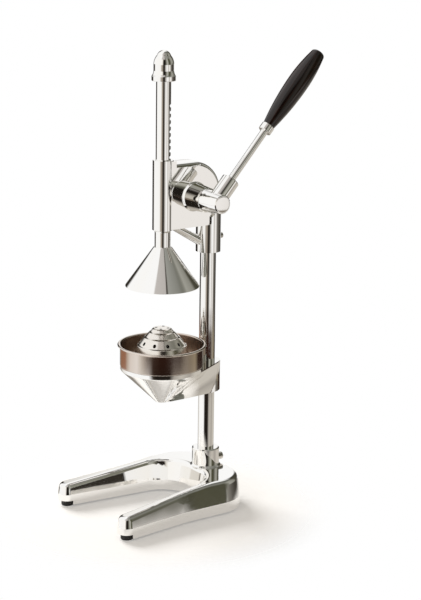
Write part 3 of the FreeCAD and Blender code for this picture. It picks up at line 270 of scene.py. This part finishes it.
def polishedChrome():
    finish = chromeFinish
    material, tree, shader = newMaterial("polishedChrome")
    space = patternSpace(tree, (0, 0, 0), (finish["wave"],) * 3)
    waves = addNode(tree, "ShaderNodeTexNoise", Vector=space, Scale=1, Detail=1).outputs["Fac"]
    haze = addNode(tree, "ShaderNodeTexNoise", Vector=space, Scale=finish["hazePerWave"],
                   Detail=3).outputs["Fac"]
    bump = addNode(tree, "ShaderNodeBump", Height=waves, Strength=finish["waveStrength"],
                   Distance=finish["waveDepth"] * mm)
    asMetal(shader, finish["tone"])
    tree.links.new(spread(tree, haze, *finish["rough"]), shader.inputs["Roughness"])
    tree.links.new(bump.outputs["Normal"], shader.inputs["Normal"])
    return material


# Spun stainless sheet: fine rings round the axis draw the highlight out into a soft band.
# Real turning marks are too fine to show, so the rings are drawn coarser.
# The cup is buffed outside and satin within its wall, where it blurs what it reflects. Within its wall its colour
# is also a darker brown, which is painted shade and a painted brown sheen.
cupFinish = {
    "tone": "#DDD3CA", "rough": (0.05, 0.09), "ring": 0.5, "alongRing": 60, "depth": 0.004,
    # The inside tone is a darker brown painted within the wall: painted shade and a painted brown sheen.
    "insidePaintedShade": "#B5A293", "insideRough": 0.3, "insideUpTo": 55.7, "outsideFrom": 56.3,
}
reamerFinish = {
    "tone": "#EEE9E2", "rough": (0.14, 0.24), "ring": 0.8, "alongRing": 60, "depth": 0.01,
}


def spunSteel(name, finish):
    material, tree, shader = newMaterial(name)
    grain = (finish["alongRing"], finish["alongRing"], finish["ring"])
    space = patternSpace(tree, ramAxis, grain)
    rings = addNode(tree, "ShaderNodeTexNoise", Vector=space, Scale=1, Detail=4).outputs["Fac"]
    bump = addNode(tree, "ShaderNodeBump", Height=rings, Strength=0.25,
                   Distance=finish["depth"] * mm)
    asMetal(shader, finish["tone"])
    rough = spread(tree, rings, *finish["rough"])
    if "insidePaintedShade" in finish:
        place = patternSpace(tree, ramAxis, (1, 1, 1))
        level = addNode(tree, "ShaderNodeVectorMath", {"operation": "MULTIPLY"},
                        _0=place, _1=(1, 1, 0)).outputs["Vector"]
        reach = addNode(tree, "ShaderNodeVectorMath", {"operation": "LENGTH"}, _0=level)
        buffedUnshadedShare = addNode(tree, "ShaderNodeMapRange", Value=reach.outputs["Value"],
                         From_Min=finish["insideUpTo"],
                         From_Max=finish["outsideFrom"]).outputs["Result"]
        # Within the wall the colour is mixed to the darker inside tone, which is painted shade and a painted brown
        # sheen.
        tone = addNode(tree, "ShaderNodeMix", {"data_type": "RGBA"}, _0=buffedUnshadedShare,
                       _6=colour(finish["insidePaintedShade"]), _7=colour(finish["tone"]))
        tree.links.new(tone.outputs[2], shader.inputs["Base Color"])
        rough = addNode(tree, "ShaderNodeMix", {"data_type": "FLOAT"}, _0=buffedUnshadedShare,
                        _2=finish["insideRough"], _3=rough).outputs[0]
    tree.links.new(rough, shader.inputs["Roughness"])
    tree.links.new(bump.outputs["Normal"], shader.inputs["Normal"])
    return material


# Machined metal: faint marks that vary the gloss, duller from the screws to the cover
machinedFinishes = {
    "platedSteel": {"tone": "#CBC7C0", "rough": (0.14, 0.3)},
    "oiledSteel": {"tone": "#A3A19E", "rough": (0.2, 0.4)},
    "turnedBrass": {"tone": "#C9A45C", "rough": (0.18, 0.35)},
    "satinPlate": {"tone": "#D9D7D3", "rough": (0.26, 0.38)},
}
machinedMark = 3


def machinedMetal(name):
    finish = machinedFinishes[name]
    material, tree, shader = newMaterial(name)
    space = patternSpace(tree, (0, 0, 0), (machinedMark,) * 3)
    marks = addNode(tree, "ShaderNodeTexNoise", Vector=space, Scale=1, Detail=3).outputs["Fac"]
    asMetal(shader, finish["tone"])
    tree.links.new(spread(tree, marks, *finish["rough"]), shader.inputs["Roughness"])
    return material


# Moulded rubber: nearly black and dull, with a fine skin
rubberFinish = {
    "tones": [(0.3, "#12110F"), (0.7, "#1D1B19")], "rough": 0.62,
    "skin": 1.2, "skinDepth": 0.1, "skinStrength": 0.3,
}


def mouldedRubber():
    finish = rubberFinish
    material, tree, shader = newMaterial("mouldedRubber")
    space = patternSpace(tree, (0, 0, 0), (finish["skin"],) * 3)
    skin = addNode(tree, "ShaderNodeTexNoise", Vector=space, Scale=1, Detail=2).outputs["Fac"]
    bump = addNode(tree, "ShaderNodeBump", Height=skin, Strength=finish["skinStrength"],
                   Distance=finish["skinDepth"] * mm)
    tree.links.new(ramp(tree, skin, finish["tones"]), shader.inputs["Base Color"])
    shader.inputs["Roughness"].default_value = finish["rough"]
    tree.links.new(bump.outputs["Normal"], shader.inputs["Normal"])
    return material


# Stained wood under lacquer: dark streaks along the grip below a clear gloss
woodFinish = {
    "tones": [(0.32, "#0A0504"), (0.5, "#170B08"), (0.68, "#2E1913")], "rough": (0.2, 0.3),
    "grain": (2.2, 2.2, 60), "specular": 0.15, "coat": 0.8, "coatRough": 0.04,
}


def lacqueredWood():
    finish = woodFinish
    material, tree, shader = newMaterial("lacqueredWood")
    space = patternSpace(tree, leverFoot, finish["grain"], alongLever)
    streaks = addNode(tree, "ShaderNodeTexNoise", Vector=space, Scale=1, Detail=5,
                      Distortion=0.4).outputs["Fac"]
    tree.links.new(ramp(tree, streaks, finish["tones"]), shader.inputs["Base Color"])
    tree.links.new(spread(tree, streaks, *finish["rough"]), shader.inputs["Roughness"])
    shader.inputs["Specular IOR Level"].default_value = finish["specular"]
    shader.inputs["Coat Weight"].default_value = finish["coat"]
    shader.inputs["Coat Roughness"].default_value = finish["coatRough"]
    return material


materials = {
    "chrome": polishedChrome(),
    "cup_steel": spunSteel("satinSteelShadedInside", cupFinish),
    "reamer_steel": spunSteel("brightSteel", reamerFinish),
    "foot_rubber": mouldedRubber(),
    "screw_steel": machinedMetal("platedSteel"),
    "gear_steel": machinedMetal("oiledSteel"),
    "bush_brass": machinedMetal("turnedBrass"),
    "dark_wood": lacqueredWood(),
}
coverPlate = machinedMetal("satinPlate")
for entry in frame["record"]["subparts"]:
    cadMaterials = cadNodes[entry["node"]].data.materials
    cadMaterials.clear()
    cadMaterials.append(materials[entry["material_slot"]])
print("materials made:", len(materials))


# Castings: the CAD forms with softened edges
castings = {
    "base_casting": {"name": "baseCasting", "body": "stand", "edge": 0.8},
    "cup_holder": {"name": "funnelArm", "body": "stand", "edge": 0.7},
    "head_casting": {"name": "headCasting", "body": "stand", "edge": 0.9},
    "gear_cover": {"name": "gearCover", "body": "stand", "edge": 0.5},
    "lever_hub": {"name": "leverHub", "body": "lever", "edge": 0.35},
}
skirtCrease = {"height": 17.5, "gap": 0.05}


# Keeps the top edge of the base's skirt sharp, where two faces meet at a slight angle
def markCrease(piece):
    makeActive(piece)
    for edge in piece.data.edges:
        ends = [piece.data.vertices[place].co.z / mm for place in edge.vertices]
        edge.use_edge_sharp = all(
            abs(end - skirtCrease["height"]) < skirtCrease["gap"] for end in ends)


def makeCastings():
    for node, size in castings.items():
        piece = castFrom(node, size["name"])
        if node == "base_casting":
            markCrease(piece)
        dressed(softened(piece, size["edge"]), size["body"], "chrome", node)
        if node == "gear_cover":
            piece.data.materials[0] = coverPlate


# Small flare where the lever barrel leaves the gear housing
flareSizes = {
    "start": 13.35, "end": 16.8, "root": 20.2, "tip": 18.36, "inner": 17.5, "edge": 0.3,
}


def makeFlare():
    size = flareSizes
    profile = [
        (size["inner"], size["start"]),
        (size["root"], size["start"]),
        (size["tip"], size["end"]),
        (size["inner"], size["end"]),
        (size["inner"], size["start"]),
    ]
    flare = turned("barrelFlare", profile, hubAxis, sideways)
    dressed(softened(flare, size["edge"]), "stand", "chrome")


makeCastings()
makeFlare()
print("castings made")

# Feet and column
footSizes = {
    "radius": 8.25, "height": 12, "bevel": 1.2, "recess": 4.5, "recessDepth": 5, "bore": 2.05,
    "steps": 64, "edge": 0.3,
}
footNames = {
    "foot_front_left": "footFrontLeft",
    "foot_front_right": "footFrontRight",
    "foot_rear_left": "footRearLeft",
    "foot_rear_right": "footRearRight",
}


def makeFeet():
    size = footSizes
    bevel = size["bevel"]
    profile = [(size["recess"], 0), (size["radius"] - bevel, 0)]
    profile += sweep(profile[-1], (size["radius"], bevel), bevel, count=5)
    profile += [
        (size["radius"], size["height"]),
        (size["bore"], size["height"]),
        (size["bore"], size["recessDepth"]),
        (size["recess"], size["recessDepth"]),
        (size["recess"], 0),
    ]
    for node, name in footNames.items():
        foot = turned(name, profile, upright(node), steps=size["steps"])
        dressed(softened(foot, size["edge"]), "stand", "foot_rubber", node)


columnSizes = {"radius": 11, "wall": 3, "edge": 0.4}


def makeColumn():
    low, high = (corner.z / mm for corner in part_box("column"))
    outer = columnSizes["radius"]
    inner = outer - columnSizes["wall"]
    profile = [(inner, low), (outer, low), (outer, high), (inner, high), (inner, low)]
    tube = turned("columnTube", profile, columnAxis)
    dressed(softened(tube, columnSizes["edge"]), "stand", "chrome", "column")


makeFeet()
makeColumn()
print("feet and column made")

# Clamping screws with a hexagon socket; the one in the cup holder has no head
screwSizes = {
    "thread": 3, "bevel": 0.9, "socketDepth": 3.2, "socketShare": 0.55, "steps": 48, "edge": 0.2,
}
screwHeads = {
    "base_set_screw": {"name": "baseClampScrew", "radius": 5.25, "length": 8.4},
    "head_set_screw": {"name": "headClampScrew", "radius": 4, "length": 5.5},
    "holder_set_screw": {"name": "holderClampScrew", "radius": 3, "length": 0},
}


def makeClampScrews():
    size = screwSizes
    bevel = size["bevel"]
    for node, head in screwHeads.items():
        low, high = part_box(node)
        length = (high.y - low.y) / mm
        radius = head["radius"]
        profile = [(0, 0), (size["thread"], 0)]
        if head["length"]:
            neck = length - head["length"]
            profile += [(size["thread"], neck), (radius, neck)]
        profile.append((radius, length - bevel))
        profile += sweep(profile[-1], (radius - bevel, length), bevel, count=5)
        profile.append((0, length))
        place = Vector((0, low.y, (low.z + high.z) / 2))
        screw = turned(head["name"], profile, place, backwards, steps=size["steps"])
        socket = drill((0, high.y, place.z), radius * size["socketShare"],
                       2 * size["socketDepth"], (math.radians(90), 0, 0), sides=6)
        cutAway(screw, [socket])
        dressed(softened(screw, size["edge"]), "stand", "screw_steel", node)


makeClampScrews()
print("clamping screws made")

# Juice cup: a spun cup with a rolled bead at its rim
cupSizes = {
    "wall": 56.6, "inner": 55.4, "height": 29.6, "bead": 1.7, "beadRound": 2.0, "footStep": 1.2,
    "floor": 1.5, "drain": 42.0, "spigot": 52.3, "spigotInner": 50.9, "spigotDepth": 6.0,
    "steps": 128, "edge": 0.25,
}


def makeCup():
    size = cupSizes
    top = size["height"]
    bead = size["bead"]
    outer = size["wall"]
    foot = size["footStep"]
    profile = [
        (size["spigotInner"], -size["spigotDepth"]),
        (size["spigot"], -size["spigotDepth"]),
        (size["spigot"], 0),
        (outer - foot, 0),
    ]
    profile += sweep(profile[-1], (outer, foot), foot, count=5)
    profile.append((outer, top - 2 * bead))
    profile += sweep(profile[-1], (outer + 2 * bead, top - bead), 2 * bead, count=6)
    profile += sweep(profile[-1], (outer + bead, top), size["beadRound"], count=8)
    profile += sweep(profile[-1], (size["inner"], top - bead), 2 * bead, count=6)
    profile += [
        (size["inner"], size["floor"]),
        (size["drain"], size["floor"]),
        (size["drain"], 0),
        (size["spigotInner"], 0),
        (size["spigotInner"], -size["spigotDepth"]),
    ]
    place = ramAxis + Vector((0, 0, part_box("juice_cup")[0].z + size["spigotDepth"] * mm))
    cup = turned("juiceCup", profile, place, steps=size["steps"])
    dressed(softened(cup, size["edge"]), "cup", "cup_steel", "juice_cup")


makeCup()
print("cup made")

# Reamer: a pressed dome with rounded steps and juice holes
reamerSizes = {
    "height": 50, "wall": 1.2, "crown": 11, "rim": 11.5, "skirtRun": 6,
    "steps": [(2, 1), (2.2, 3.6), (2.2, 1.1), (4.6, 5.8), (2.2, 1.1), (7.2, 9.8), (2.2, 1.1)],
    "stepRound": 0.9, "stepAngle": 20, "segments": 120, "lowerStep": 5,
    "holes": 10, "holeRadius": 2.25, "holeDrop": 1.2, "holeAt": 30, "holeLength": 26,
    "crownHoles": 4, "crownHoleRadius": 2.0, "crownHoleAt": 8.2, "crownHoleLength": 12,
}


def makeReamer():
    size = reamerSizes
    wall = size["wall"]
    outer = [(size["crown"], size["height"])]
    for run, drop in size["steps"]:
        outer.append((outer[-1][0] + run, outer[-1][1] - drop))
    skirt = outer[-1][0] + size["skirtRun"]
    rim = skirt + size["rim"]
    inner = [(across - wall, high - wall) for across, high in outer]
    profile = [(0, size["height"])] + outer
    profile += [(skirt, wall), (rim, wall), (rim, 0), (skirt - wall, 0)]
    profile += inner[::-1] + [(0, size["height"] - wall)]
    place = ramAxis + Vector((0, 0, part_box("reamer")[0].z))
    dome = turned("reamerDome", profile, place, steps=size["segments"])
    applyModifier(dome, "BEVEL", width=size["stepRound"] * mm, segments=3, limit_method="ANGLE",
                  angle_limit=math.radians(size["stepAngle"]))
    stepTop = outer[size["lowerStep"]][1]
    stepMiddle = stepTop - size["steps"][size["lowerStep"]][1] / 2 - size["holeDrop"]
    cutters = []
    for number in range(size["holes"]):
        angle = math.tau * number / size["holes"] - math.radians(90)
        reach = Vector((math.cos(angle), math.sin(angle), 0)) * size["holeAt"] * mm
        cutters.append(drill(place + reach + Vector((0, 0, stepMiddle * mm)), size["holeRadius"],
                             size["holeLength"], (0, math.radians(90), angle)))
    for number in range(size["crownHoles"]):
        angle = math.tau * (number + 0.5) / size["crownHoles"]
        reach = Vector((math.cos(angle), math.sin(angle), 0)) * size["crownHoleAt"] * mm
        cutters.append(drill(place + reach + Vector((0, 0, size["height"] * mm)),
                             size["crownHoleRadius"], size["crownHoleLength"]))
    cutAway(dome, cutters)
    makeActive(dome)
    bpy.ops.object.shade_smooth_by_angle(angle=math.radians(sharpAngle))
    dressed(dome, "dome", "reamer_steel", "reamer")


makeReamer()
print("reamer made")

# Ram: a round bar with rack teeth, its rounded cap, and the press cone
rackSizes = {
    "radius": 10, "flat": 9.3, "module": 2.7, "gaps": 18, "gapsBelow": 2, "backlash": 0.3,
    "rootClearance": 0.25, "pressureAngle": 20, "spigot": 6, "spigotLength": 17.2,
    "cutterMargin": 2, "cutterWidth": 30, "edge": 0.15,
}


# A block across the ram from an inner to an outer reach, with a lower and an upper edge at each
def rackCutter(inner, outer, innerEdges, outerEdges):
    freshSelection()
    bpy.ops.mesh.primitive_cube_add(size=1)
    block = bpy.context.object
    for corner in block.data.vertices:
        inside, upper = corner.co.y < 0, corner.co.z > 0
        reach = inner if inside else outer
        height = (innerEdges if inside else outerEdges)[upper]
        across = corner.co.x * rackSizes["cutterWidth"]
        corner.co = (across * mm, reach * mm + ramAxis.y, height * mm)
    return block


def makeRam():
    size = rackSizes
    low, high = (corner.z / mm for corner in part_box("ram_rack"))
    shoulder = low + size["spigotLength"]
    profile = [
        (0, low),
        (size["spigot"], low),
        (size["spigot"], shoulder),
        (size["radius"], shoulder),
        (size["radius"], high),
        (0, high),
    ]
    bar = turned("ramBar", profile, ramAxis)
    pitch = math.pi * size["module"]
    lowest = gearAxis.z / mm - (size["gapsBelow"] + 0.5) * pitch
    rackLine = size["flat"] - size["module"]
    depth = size["module"] * (1 + size["rootClearance"])
    slant = math.tan(math.radians(size["pressureAngle"]))
    half = (pitch / 2 + size["backlash"]) / 2
    outside = size["radius"] + size["cutterMargin"]
    rootHalf = half - slant * depth
    mouthHalf = half + slant * (outside - rackLine)
    cutters = []
    for number in range(size["gaps"]):
        centre = lowest + number * pitch
        cutters.append(rackCutter(rackLine - depth, outside,
                                  (centre - rootHalf, centre + rootHalf),
                                  (centre - mouthHalf, centre + mouthHalf)))
    ends = (lowest - pitch / 2, lowest + (size["gaps"] - 0.5) * pitch)
    cutAway(bar, [rackCutter(size["flat"], outside, ends, ends)])
    cutAway(bar, cutters)
    dressed(softened(bar, size["edge"], segments=2), "ram", "chrome", "ram_rack")


capSizes = {
    "bore": 10.02, "depth": 4.5, "flange": 16.05, "flangeHeight": 7, "lip": 0.75, "step": 1.5,
    "waist": 13.5, "waistAt": 13.5, "shoulderAt": 21.5, "brow": 9.2, "browAt": 33.0,
    "height": 39.8, "edge": 0.25,
}


def makeCap():
    size = capSizes
    foot = size["flangeHeight"] + size["step"]
    shelf = size["flange"] - size["step"]
    flare = easedRadius(size["waistAt"] - foot, shelf - size["waist"])
    brow = easedRadius(size["browAt"] - size["shoulderAt"], size["waist"] - size["brow"])
    crown = easedRadius(size["brow"], size["height"] - size["browAt"])
    lip = size["lip"]
    profile = [(size["bore"], 0), (size["flange"] - lip, 0)]
    profile += sweep(profile[-1], (size["flange"], lip), lip, count=4)
    profile.append((size["flange"], size["flangeHeight"] - lip))
    profile += sweep(profile[-1], (size["flange"] - lip, size["flangeHeight"]), lip, count=4)
    profile.append((shelf, foot))
    profile += sweep(profile[-1], (size["waist"], size["waistAt"]), -flare, count=8)
    profile.append((size["waist"], size["shoulderAt"]))
    profile += sweep(profile[-1], (size["brow"], size["browAt"]), brow, count=14)
    profile += sweep(profile[-1], (0, size["height"]), crown, count=16)
    profile += [(0, size["depth"]), (size["bore"], size["depth"]), (size["bore"], 0)]
    place = ramAxis + Vector((0, 0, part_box("ram_cap")[0].z))
    cap = turned("ramCap", profile, place)
    dressed(softened(cap, size["edge"]), "ram", "chrome", "ram_cap")


coneSizes = {
    "rim": 49.8, "top": 11.9, "hub": 10.75, "wall": 1.9, "height": 53.5, "hubHeight": 21.9,
    "spigot": 6.02, "floorDrop": 17.6, "web": 5.5, "screwBore": 2.55, "hubBevel": 1.2,
    "steps": 128, "edge": 0.5,
}


def makeCone():
    size = coneSizes
    top = size["height"]
    hubTop = top + size["hubHeight"]
    floor = hubTop - size["floorDrop"]
    ceiling = floor - size["web"]
    slope = (size["rim"] - size["top"]) / top
    ceilingRadius = size["top"] - size["wall"] + (top - ceiling) * slope
    profile = [
        (size["screwBore"], ceiling),
        (ceilingRadius, ceiling),
        (size["rim"] - size["wall"], 0),
        (size["rim"], 0),
        (size["top"], top),
        (size["hub"], top),
        (size["hub"], hubTop - size["hubBevel"]),
        (size["hub"] - size["hubBevel"], hubTop),
        (size["spigot"], hubTop),
        (size["spigot"], floor),
        (size["screwBore"], floor),
        (size["screwBore"], ceiling),
    ]
    place = ramAxis + Vector((0, 0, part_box("press_cone")[0].z))
    cone = turned("pressCone", profile, place, steps=size["steps"])
    dressed(softened(cone, size["edge"]), "ram", "chrome", "press_cone")


makeRam()
makeCap()
makeCone()
print("ram, cap and cone made")

# Lever: rod, ferrule, grip and the cap on the hub's end, measured along the lever from its foot
rodSizes = {"radius": 5, "start": 14, "end": 141, "steps": 64, "edge": 0.3}


def makeRod():
    size = rodSizes
    radius, start, end = size["radius"], size["start"], size["end"]
    profile = [(0, start), (radius, start), (radius, end), (0, end)]
    rod = turned("leverRod", profile, leverFoot, alongLever, steps=size["steps"])
    dressed(softened(rod, size["edge"]), "lever", "chrome", "lever_rod")


ferruleSizes = {"radius": 9, "bore": 5.02, "start": 117, "end": 127, "bevel": 1, "edge": 0.2}


def makeFerrule():
    size = ferruleSizes
    radius, bore, bevel = size["radius"], size["bore"], size["bevel"]
    start, end = size["start"], size["end"]
    profile = [(bore, start), (radius - bevel, start)]
    profile += sweep(profile[-1], (radius, start + bevel), bevel, count=4)
    profile.append((radius, end - bevel))
    profile += sweep(profile[-1], (radius - bevel, end), bevel, count=4)
    profile += [(bore, end), (bore, start)]
    ferrule = turned("handleFerrule", profile, leverFoot, alongLever)
    dressed(softened(ferrule, size["edge"]), "lever", "chrome", "handle_ferrule")


gripSizes = {
    "bore": 5.02, "neck": 8, "belly": 14.5, "bellyAt": 199, "end": 9.8, "corner": 5,
    "length": 250, "edge": 0.3,
}


def makeGrip():
    size = gripSizes
    start, boreEnd = ferruleSizes["end"], rodSizes["end"]
    roundAt = size["length"] - size["corner"]
    swell = easedRadius(size["bellyAt"] - start, size["belly"] - size["neck"])
    taper = easedRadius(roundAt - size["bellyAt"], size["belly"] - size["end"])
    tip = (size["end"] - size["corner"], size["length"])
    profile = [(size["bore"], start), (size["neck"], start)]
    profile += sweep(profile[-1], (size["belly"], size["bellyAt"]), swell, count=20)
    profile += sweep(profile[-1], (size["end"], roundAt), taper, count=16)
    profile += sweep(profile[-1], tip, size["corner"], count=8)
    profile += [(0, size["length"]), (0, boreEnd), (size["bore"], boreEnd), profile[0]]
    grip = turned("handleGrip", profile, leverFoot, alongLever)
    dressed(softened(grip, size["edge"]), "lever", "dark_wood", "handle_grip")


hubCapSizes = {"radius": 10.7, "depth": 3, "dome": 0.3, "steps": 64, "edge": 0.2}


def makeHubCap():
    size = hubCapSizes
    radius, dome = size["radius"], size["dome"]
    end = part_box("hub_cap")[1].x / mm
    profile = [(0, end - size["depth"]), (radius, end - size["depth"]), (radius, end - dome)]
    profile += sweep(profile[-1], (0, end), easedRadius(radius, dome), count=10)
    cap = turned("hubCap", profile, hubAxis, sideways, steps=size["steps"])
    dressed(softened(cap, size["edge"]), "lever", "chrome", "hub_cap")


makeRod()
makeFerrule()
makeGrip()
makeHubCap()
print("lever made")

# Pale floor that keeps the shadow and fades into the white backdrop
floorSizes = {"centre": (0, -55, 0), "radius": 250, "solid": 140, "tone": "#F3F2F0", "glow": 0.18}


def makeFloor():
    size = floorSizes
    freshSelection()
    centre = Vector(size["centre"]) * mm
    bpy.ops.mesh.primitive_circle_add(vertices=roundSteps, radius=size["radius"] * mm,
                                      fill_type="NGON", location=centre)
    bpy.ops.object.transform_apply(location=True)
    floor = bpy.context.object
    floor.name = "paleFloor"
    material = bpy.data.materials.new("paleFloor")
    material.use_nodes = True
    tree = material.node_tree
    tree.nodes.clear()
    path = addNode(tree, "ShaderNodeLightPath")
    seen = addNode(tree, "ShaderNodeMath", {"operation": "ADD", "use_clamp": True},
                   _0=path.outputs["Is Camera Ray"], _1=path.outputs["Is Glossy Ray"])
    seen = addNode(tree, "ShaderNodeMath", {"operation": "ADD", "use_clamp": True},
                   _0=seen.outputs["Value"], _1=path.outputs["Is Transmission Ray"])
    glow = addNode(tree, "ShaderNodeMath", {"operation": "MULTIPLY"}, _0=seen.outputs["Value"],
                   _1=size["glow"])
    lit = addNode(tree, "ShaderNodeBsdfDiffuse", Color=colour(size["tone"]))
    shine = addNode(tree, "ShaderNodeEmission", Color=colour("#FFFFFF"),
                    Strength=glow.outputs["Value"])
    both = addNode(tree, "ShaderNodeAddShader", _0=lit.outputs["BSDF"],
                   _1=shine.outputs["Emission"])
    space = patternSpace(tree, centre, (1, 1, 1))
    reach = addNode(tree, "ShaderNodeVectorMath", {"operation": "LENGTH"}, _0=space)
    fade = addNode(tree, "ShaderNodeMapRange", {"interpolation_type": "SMOOTHSTEP"},
                   Value=reach.outputs["Value"], From_Min=size["solid"], From_Max=size["radius"])
    clear = addNode(tree, "ShaderNodeBsdfTransparent")
    mixed = addNode(tree, "ShaderNodeMixShader", _0=fade.outputs["Result"],
                    _1=both.outputs["Shader"], _2=clear.outputs["BSDF"])
    addNode(tree, "ShaderNodeOutputMaterial", Surface=mixed.outputs["Shader"])
    floor.data.materials.append(material)


# White room with darker panels, which draw the lines in the polished metal.
# Each belt goes once round the room, from behind the press by its left, its front and its right.
roomBelts = {
    "under": [
        (0.00, "#9A948C"), (0.06, "#8A847C"), (0.12, "#E8E4DE"), (0.20, "#FFFFFF"),
        (0.40, "#FFFFFF"), (0.435, "#3A332C"), (0.46, "#1E1A16"), (0.565, "#241F1B"),
        (0.60, "#A8A29A"), (0.66, "#C4BEB4"), (0.74, "#A8A29A"), (0.80, "#C8C2B8"),
        (0.92, "#C8C2B8"), (1.00, "#9A948C"),
    ],
    "deep": [
        (0.00, "#8E8880"), (0.07, "#A09488"), (0.09, "#A0745A"), (0.17, "#A87A60"),
        (0.195, "#C4B4A4"), (0.235, "#F2EEEA"), (0.30, "#FFFFFF"), (0.33, "#E4E0DA"),
        (0.365, "#A8A096"), (0.395, "#5A4A40"), (0.44, "#341F17"), (0.645, "#301C15"),
        (0.70, "#857C70"), (0.79, "#A0957F"), (0.83, "#2E1A12"), (0.90, "#2A1A14"),
        (0.93, "#8E8880"), (1.00, "#8E8880"),
    ],
    "low": [
        (0.00, "#C8C4BC"), (0.025, "#1C1916"), (0.165, "#2A2622"), (0.185, "#E4E1DC"),
        (0.21, "#FFFFFF"), (0.40, "#FDFCFA"), (0.43, "#B5ADA3"), (0.475, "#8A7F72"),
        (0.487, "#2A2622"), (0.53, "#332E29"), (0.56, "#C4C0BA"), (0.60, "#FFFFFF"),
        (0.6275, "#F2EFEC"), (0.656, "#B0ACA5"), (0.672, "#F4F1EE"), (0.71, "#ECE8E4"),
        (0.73, "#85817A"), (0.78, "#5F5B55"), (0.84, "#44403A"), (0.90, "#35312C"),
        (0.93, "#FFFFFF"), (1.00, "#C8C4BC"),
    ],
    "level": [
        (0.00, "#FFFFFF"), (0.02, "#F4F2EE"), (0.04, "#3A362F"), (0.09, "#2C2924"),
        (0.12, "#FFFFFF"), (0.445, "#FFFDF9"), (0.47, "#D8D2C8"), (0.487, "#241F1B"),
        (0.545, "#1E1B18"), (0.575, "#6E6D62"), (0.60, "#A6A59C"), (0.635, "#B4B3AA"),
        (0.66, "#55543F"), (0.70, "#4A493C"), (0.73, "#6E6D62"), (0.77, "#A2A198"),
        (0.84, "#8C8B82"), (0.87, "#4A483C"), (0.95, "#3E3C33"), (0.975, "#FFFFFF"),
        (1.00, "#FFFFFF"),
    ],
    "high": [
        (0.00, "#FFFFFF"), (0.40, "#FFFFFF"), (0.415, "#C4BFBB"), (0.545, "#BCB7B3"),
        (0.555, "#4A4640"), (0.565, "#4A4640"), (0.575, "#9C9C96"), (0.66, "#8E8E87"),
        (0.75, "#7A7A72"), (0.89, "#5A5A52"), (0.92, "#FFFFFF"), (1.00, "#FFFFFF"),
    ],
}
# Heights at which one belt gives way to the next, as the upward share of the direction
beltEdges = [(-0.297, -0.29), (-0.27, -0.255), (-0.115, -0.09), (0.58, 0.72)]
roomTurn = 34.8
roomFill = {"tone": "#FFF6EA", "strength": 0.45}  # light that only matt surfaces see


def makeWorld():
    world = bpy.data.worlds.new("whiteRoom")
    bpy.context.scene.world = world
    world.use_nodes = True
    tree = world.node_tree
    tree.nodes.clear()
    direction = addNode(tree, "ShaderNodeTexCoord").outputs["Generated"]
    turnedRoom = addNode(tree, "ShaderNodeMapping", Vector=direction,
                         Rotation=(0, 0, math.radians(roomTurn)))
    around = addNode(tree, "ShaderNodeTexGradient", {"gradient_type": "RADIAL"},
                     Vector=turnedRoom.outputs["Vector"])
    height = addNode(tree, "ShaderNodeSeparateXYZ", Vector=direction).outputs["Z"]
    belts = [ramp(tree, around.outputs["Fac"], stops) for stops in roomBelts.values()]
    room = belts[0]
    for belt, (start, end) in zip(belts[1:], beltEdges):
        above = addNode(tree, "ShaderNodeMapRange", Value=height, From_Min=start, From_Max=end)
        room = addNode(tree, "ShaderNodeMix", {"data_type": "RGBA"}, _0=above.outputs["Result"],
                       _6=room, _7=belt).outputs[2]
    path = addNode(tree, "ShaderNodeLightPath")
    backdrop = addNode(tree, "ShaderNodeMix", {"data_type": "RGBA"},
                       _0=path.outputs["Is Camera Ray"], _6=room, _7=colour("#FFFFFF"))
    mirrored = addNode(tree, "ShaderNodeMath", {"operation": "ADD", "use_clamp": True},
                       _0=path.outputs["Is Glossy Ray"], _1=path.outputs["Is Transmission Ray"])
    seen = addNode(tree, "ShaderNodeMath", {"operation": "ADD", "use_clamp": True},
                   _0=path.outputs["Is Camera Ray"], _1=mirrored.outputs["Value"])
    shown = addNode(tree, "ShaderNodeBackground", Color=backdrop.outputs[2], Strength=1)
    fill = addNode(tree, "ShaderNodeBackground", Color=colour(roomFill["tone"]),
                   Strength=roomFill["strength"])
    both = addNode(tree, "ShaderNodeMixShader", _0=seen.outputs["Value"],
                   _1=fill.outputs["Background"], _2=shown.outputs["Background"])
    addNode(tree, "ShaderNodeOutputWorld", Surface=both.outputs["Shader"])


# Lamps, in metres: a broad soft one high on the far side, and a weak one in front.
# Polished metal doesn't show them.
lampSizes = {
    "softLampBehind": {"place": (-2.1, -0.3, 1.7), "size": 1.5, "watts": 62},
    "softLampFront": {"place": (0.6, -2.4, 1.8), "size": 1.2, "watts": 8},
}
lampAim = Vector((0, 0, 0.2))


def makeLamps():
    for name, size in lampSizes.items():
        freshSelection()
        bpy.ops.object.light_add(type="AREA", location=size["place"])
        lamp = bpy.context.object
        lamp.name = name
        lamp.data.shape = "DISK"
        lamp.data.size = size["size"]
        lamp.data.energy = size["watts"]
        lamp.visible_glossy = False
        aim = lampAim - Vector(size["place"])
        lamp.rotation_euler = aim.to_track_quat("-Z", "Y").to_euler()


# Camera, placed from the column's axis
cameraSizes = {
    "fromColumn": (1995.06, -1414.12, 912.77),
    "up": (-0.2112, 0.1334, 0.9683),
    "back": (0.7891, -0.5613, 0.2495),
    "lens": 111.14,
    "sensor": 36,
    "clipStart": 50,
}


def makeCamera():
    size = cameraSizes
    freshSelection()
    bpy.ops.object.camera_add()
    camera = bpy.context.object
    camera.name = "frontCamera"
    back = Vector(size["back"]).normalized()
    right = Vector(size["up"]).cross(back).normalized()
    up = back.cross(right)
    turn = Matrix((right, up, back)).transposed()
    place = columnAxis + Vector(size["fromColumn"]) * mm
    camera.matrix_world = Matrix.Translation(place) @ turn.to_4x4()
    camera.data.lens = size["lens"]
    camera.data.sensor_width = size["sensor"]
    camera.data.clip_start = size["clipStart"] * mm
    bpy.context.scene.camera = camera


makeCamera()
makeFloor()
makeWorld()
makeLamps()
bpy.context.scene.view_settings.view_transform = "Standard"
print("camera, floor, room and lamps made")
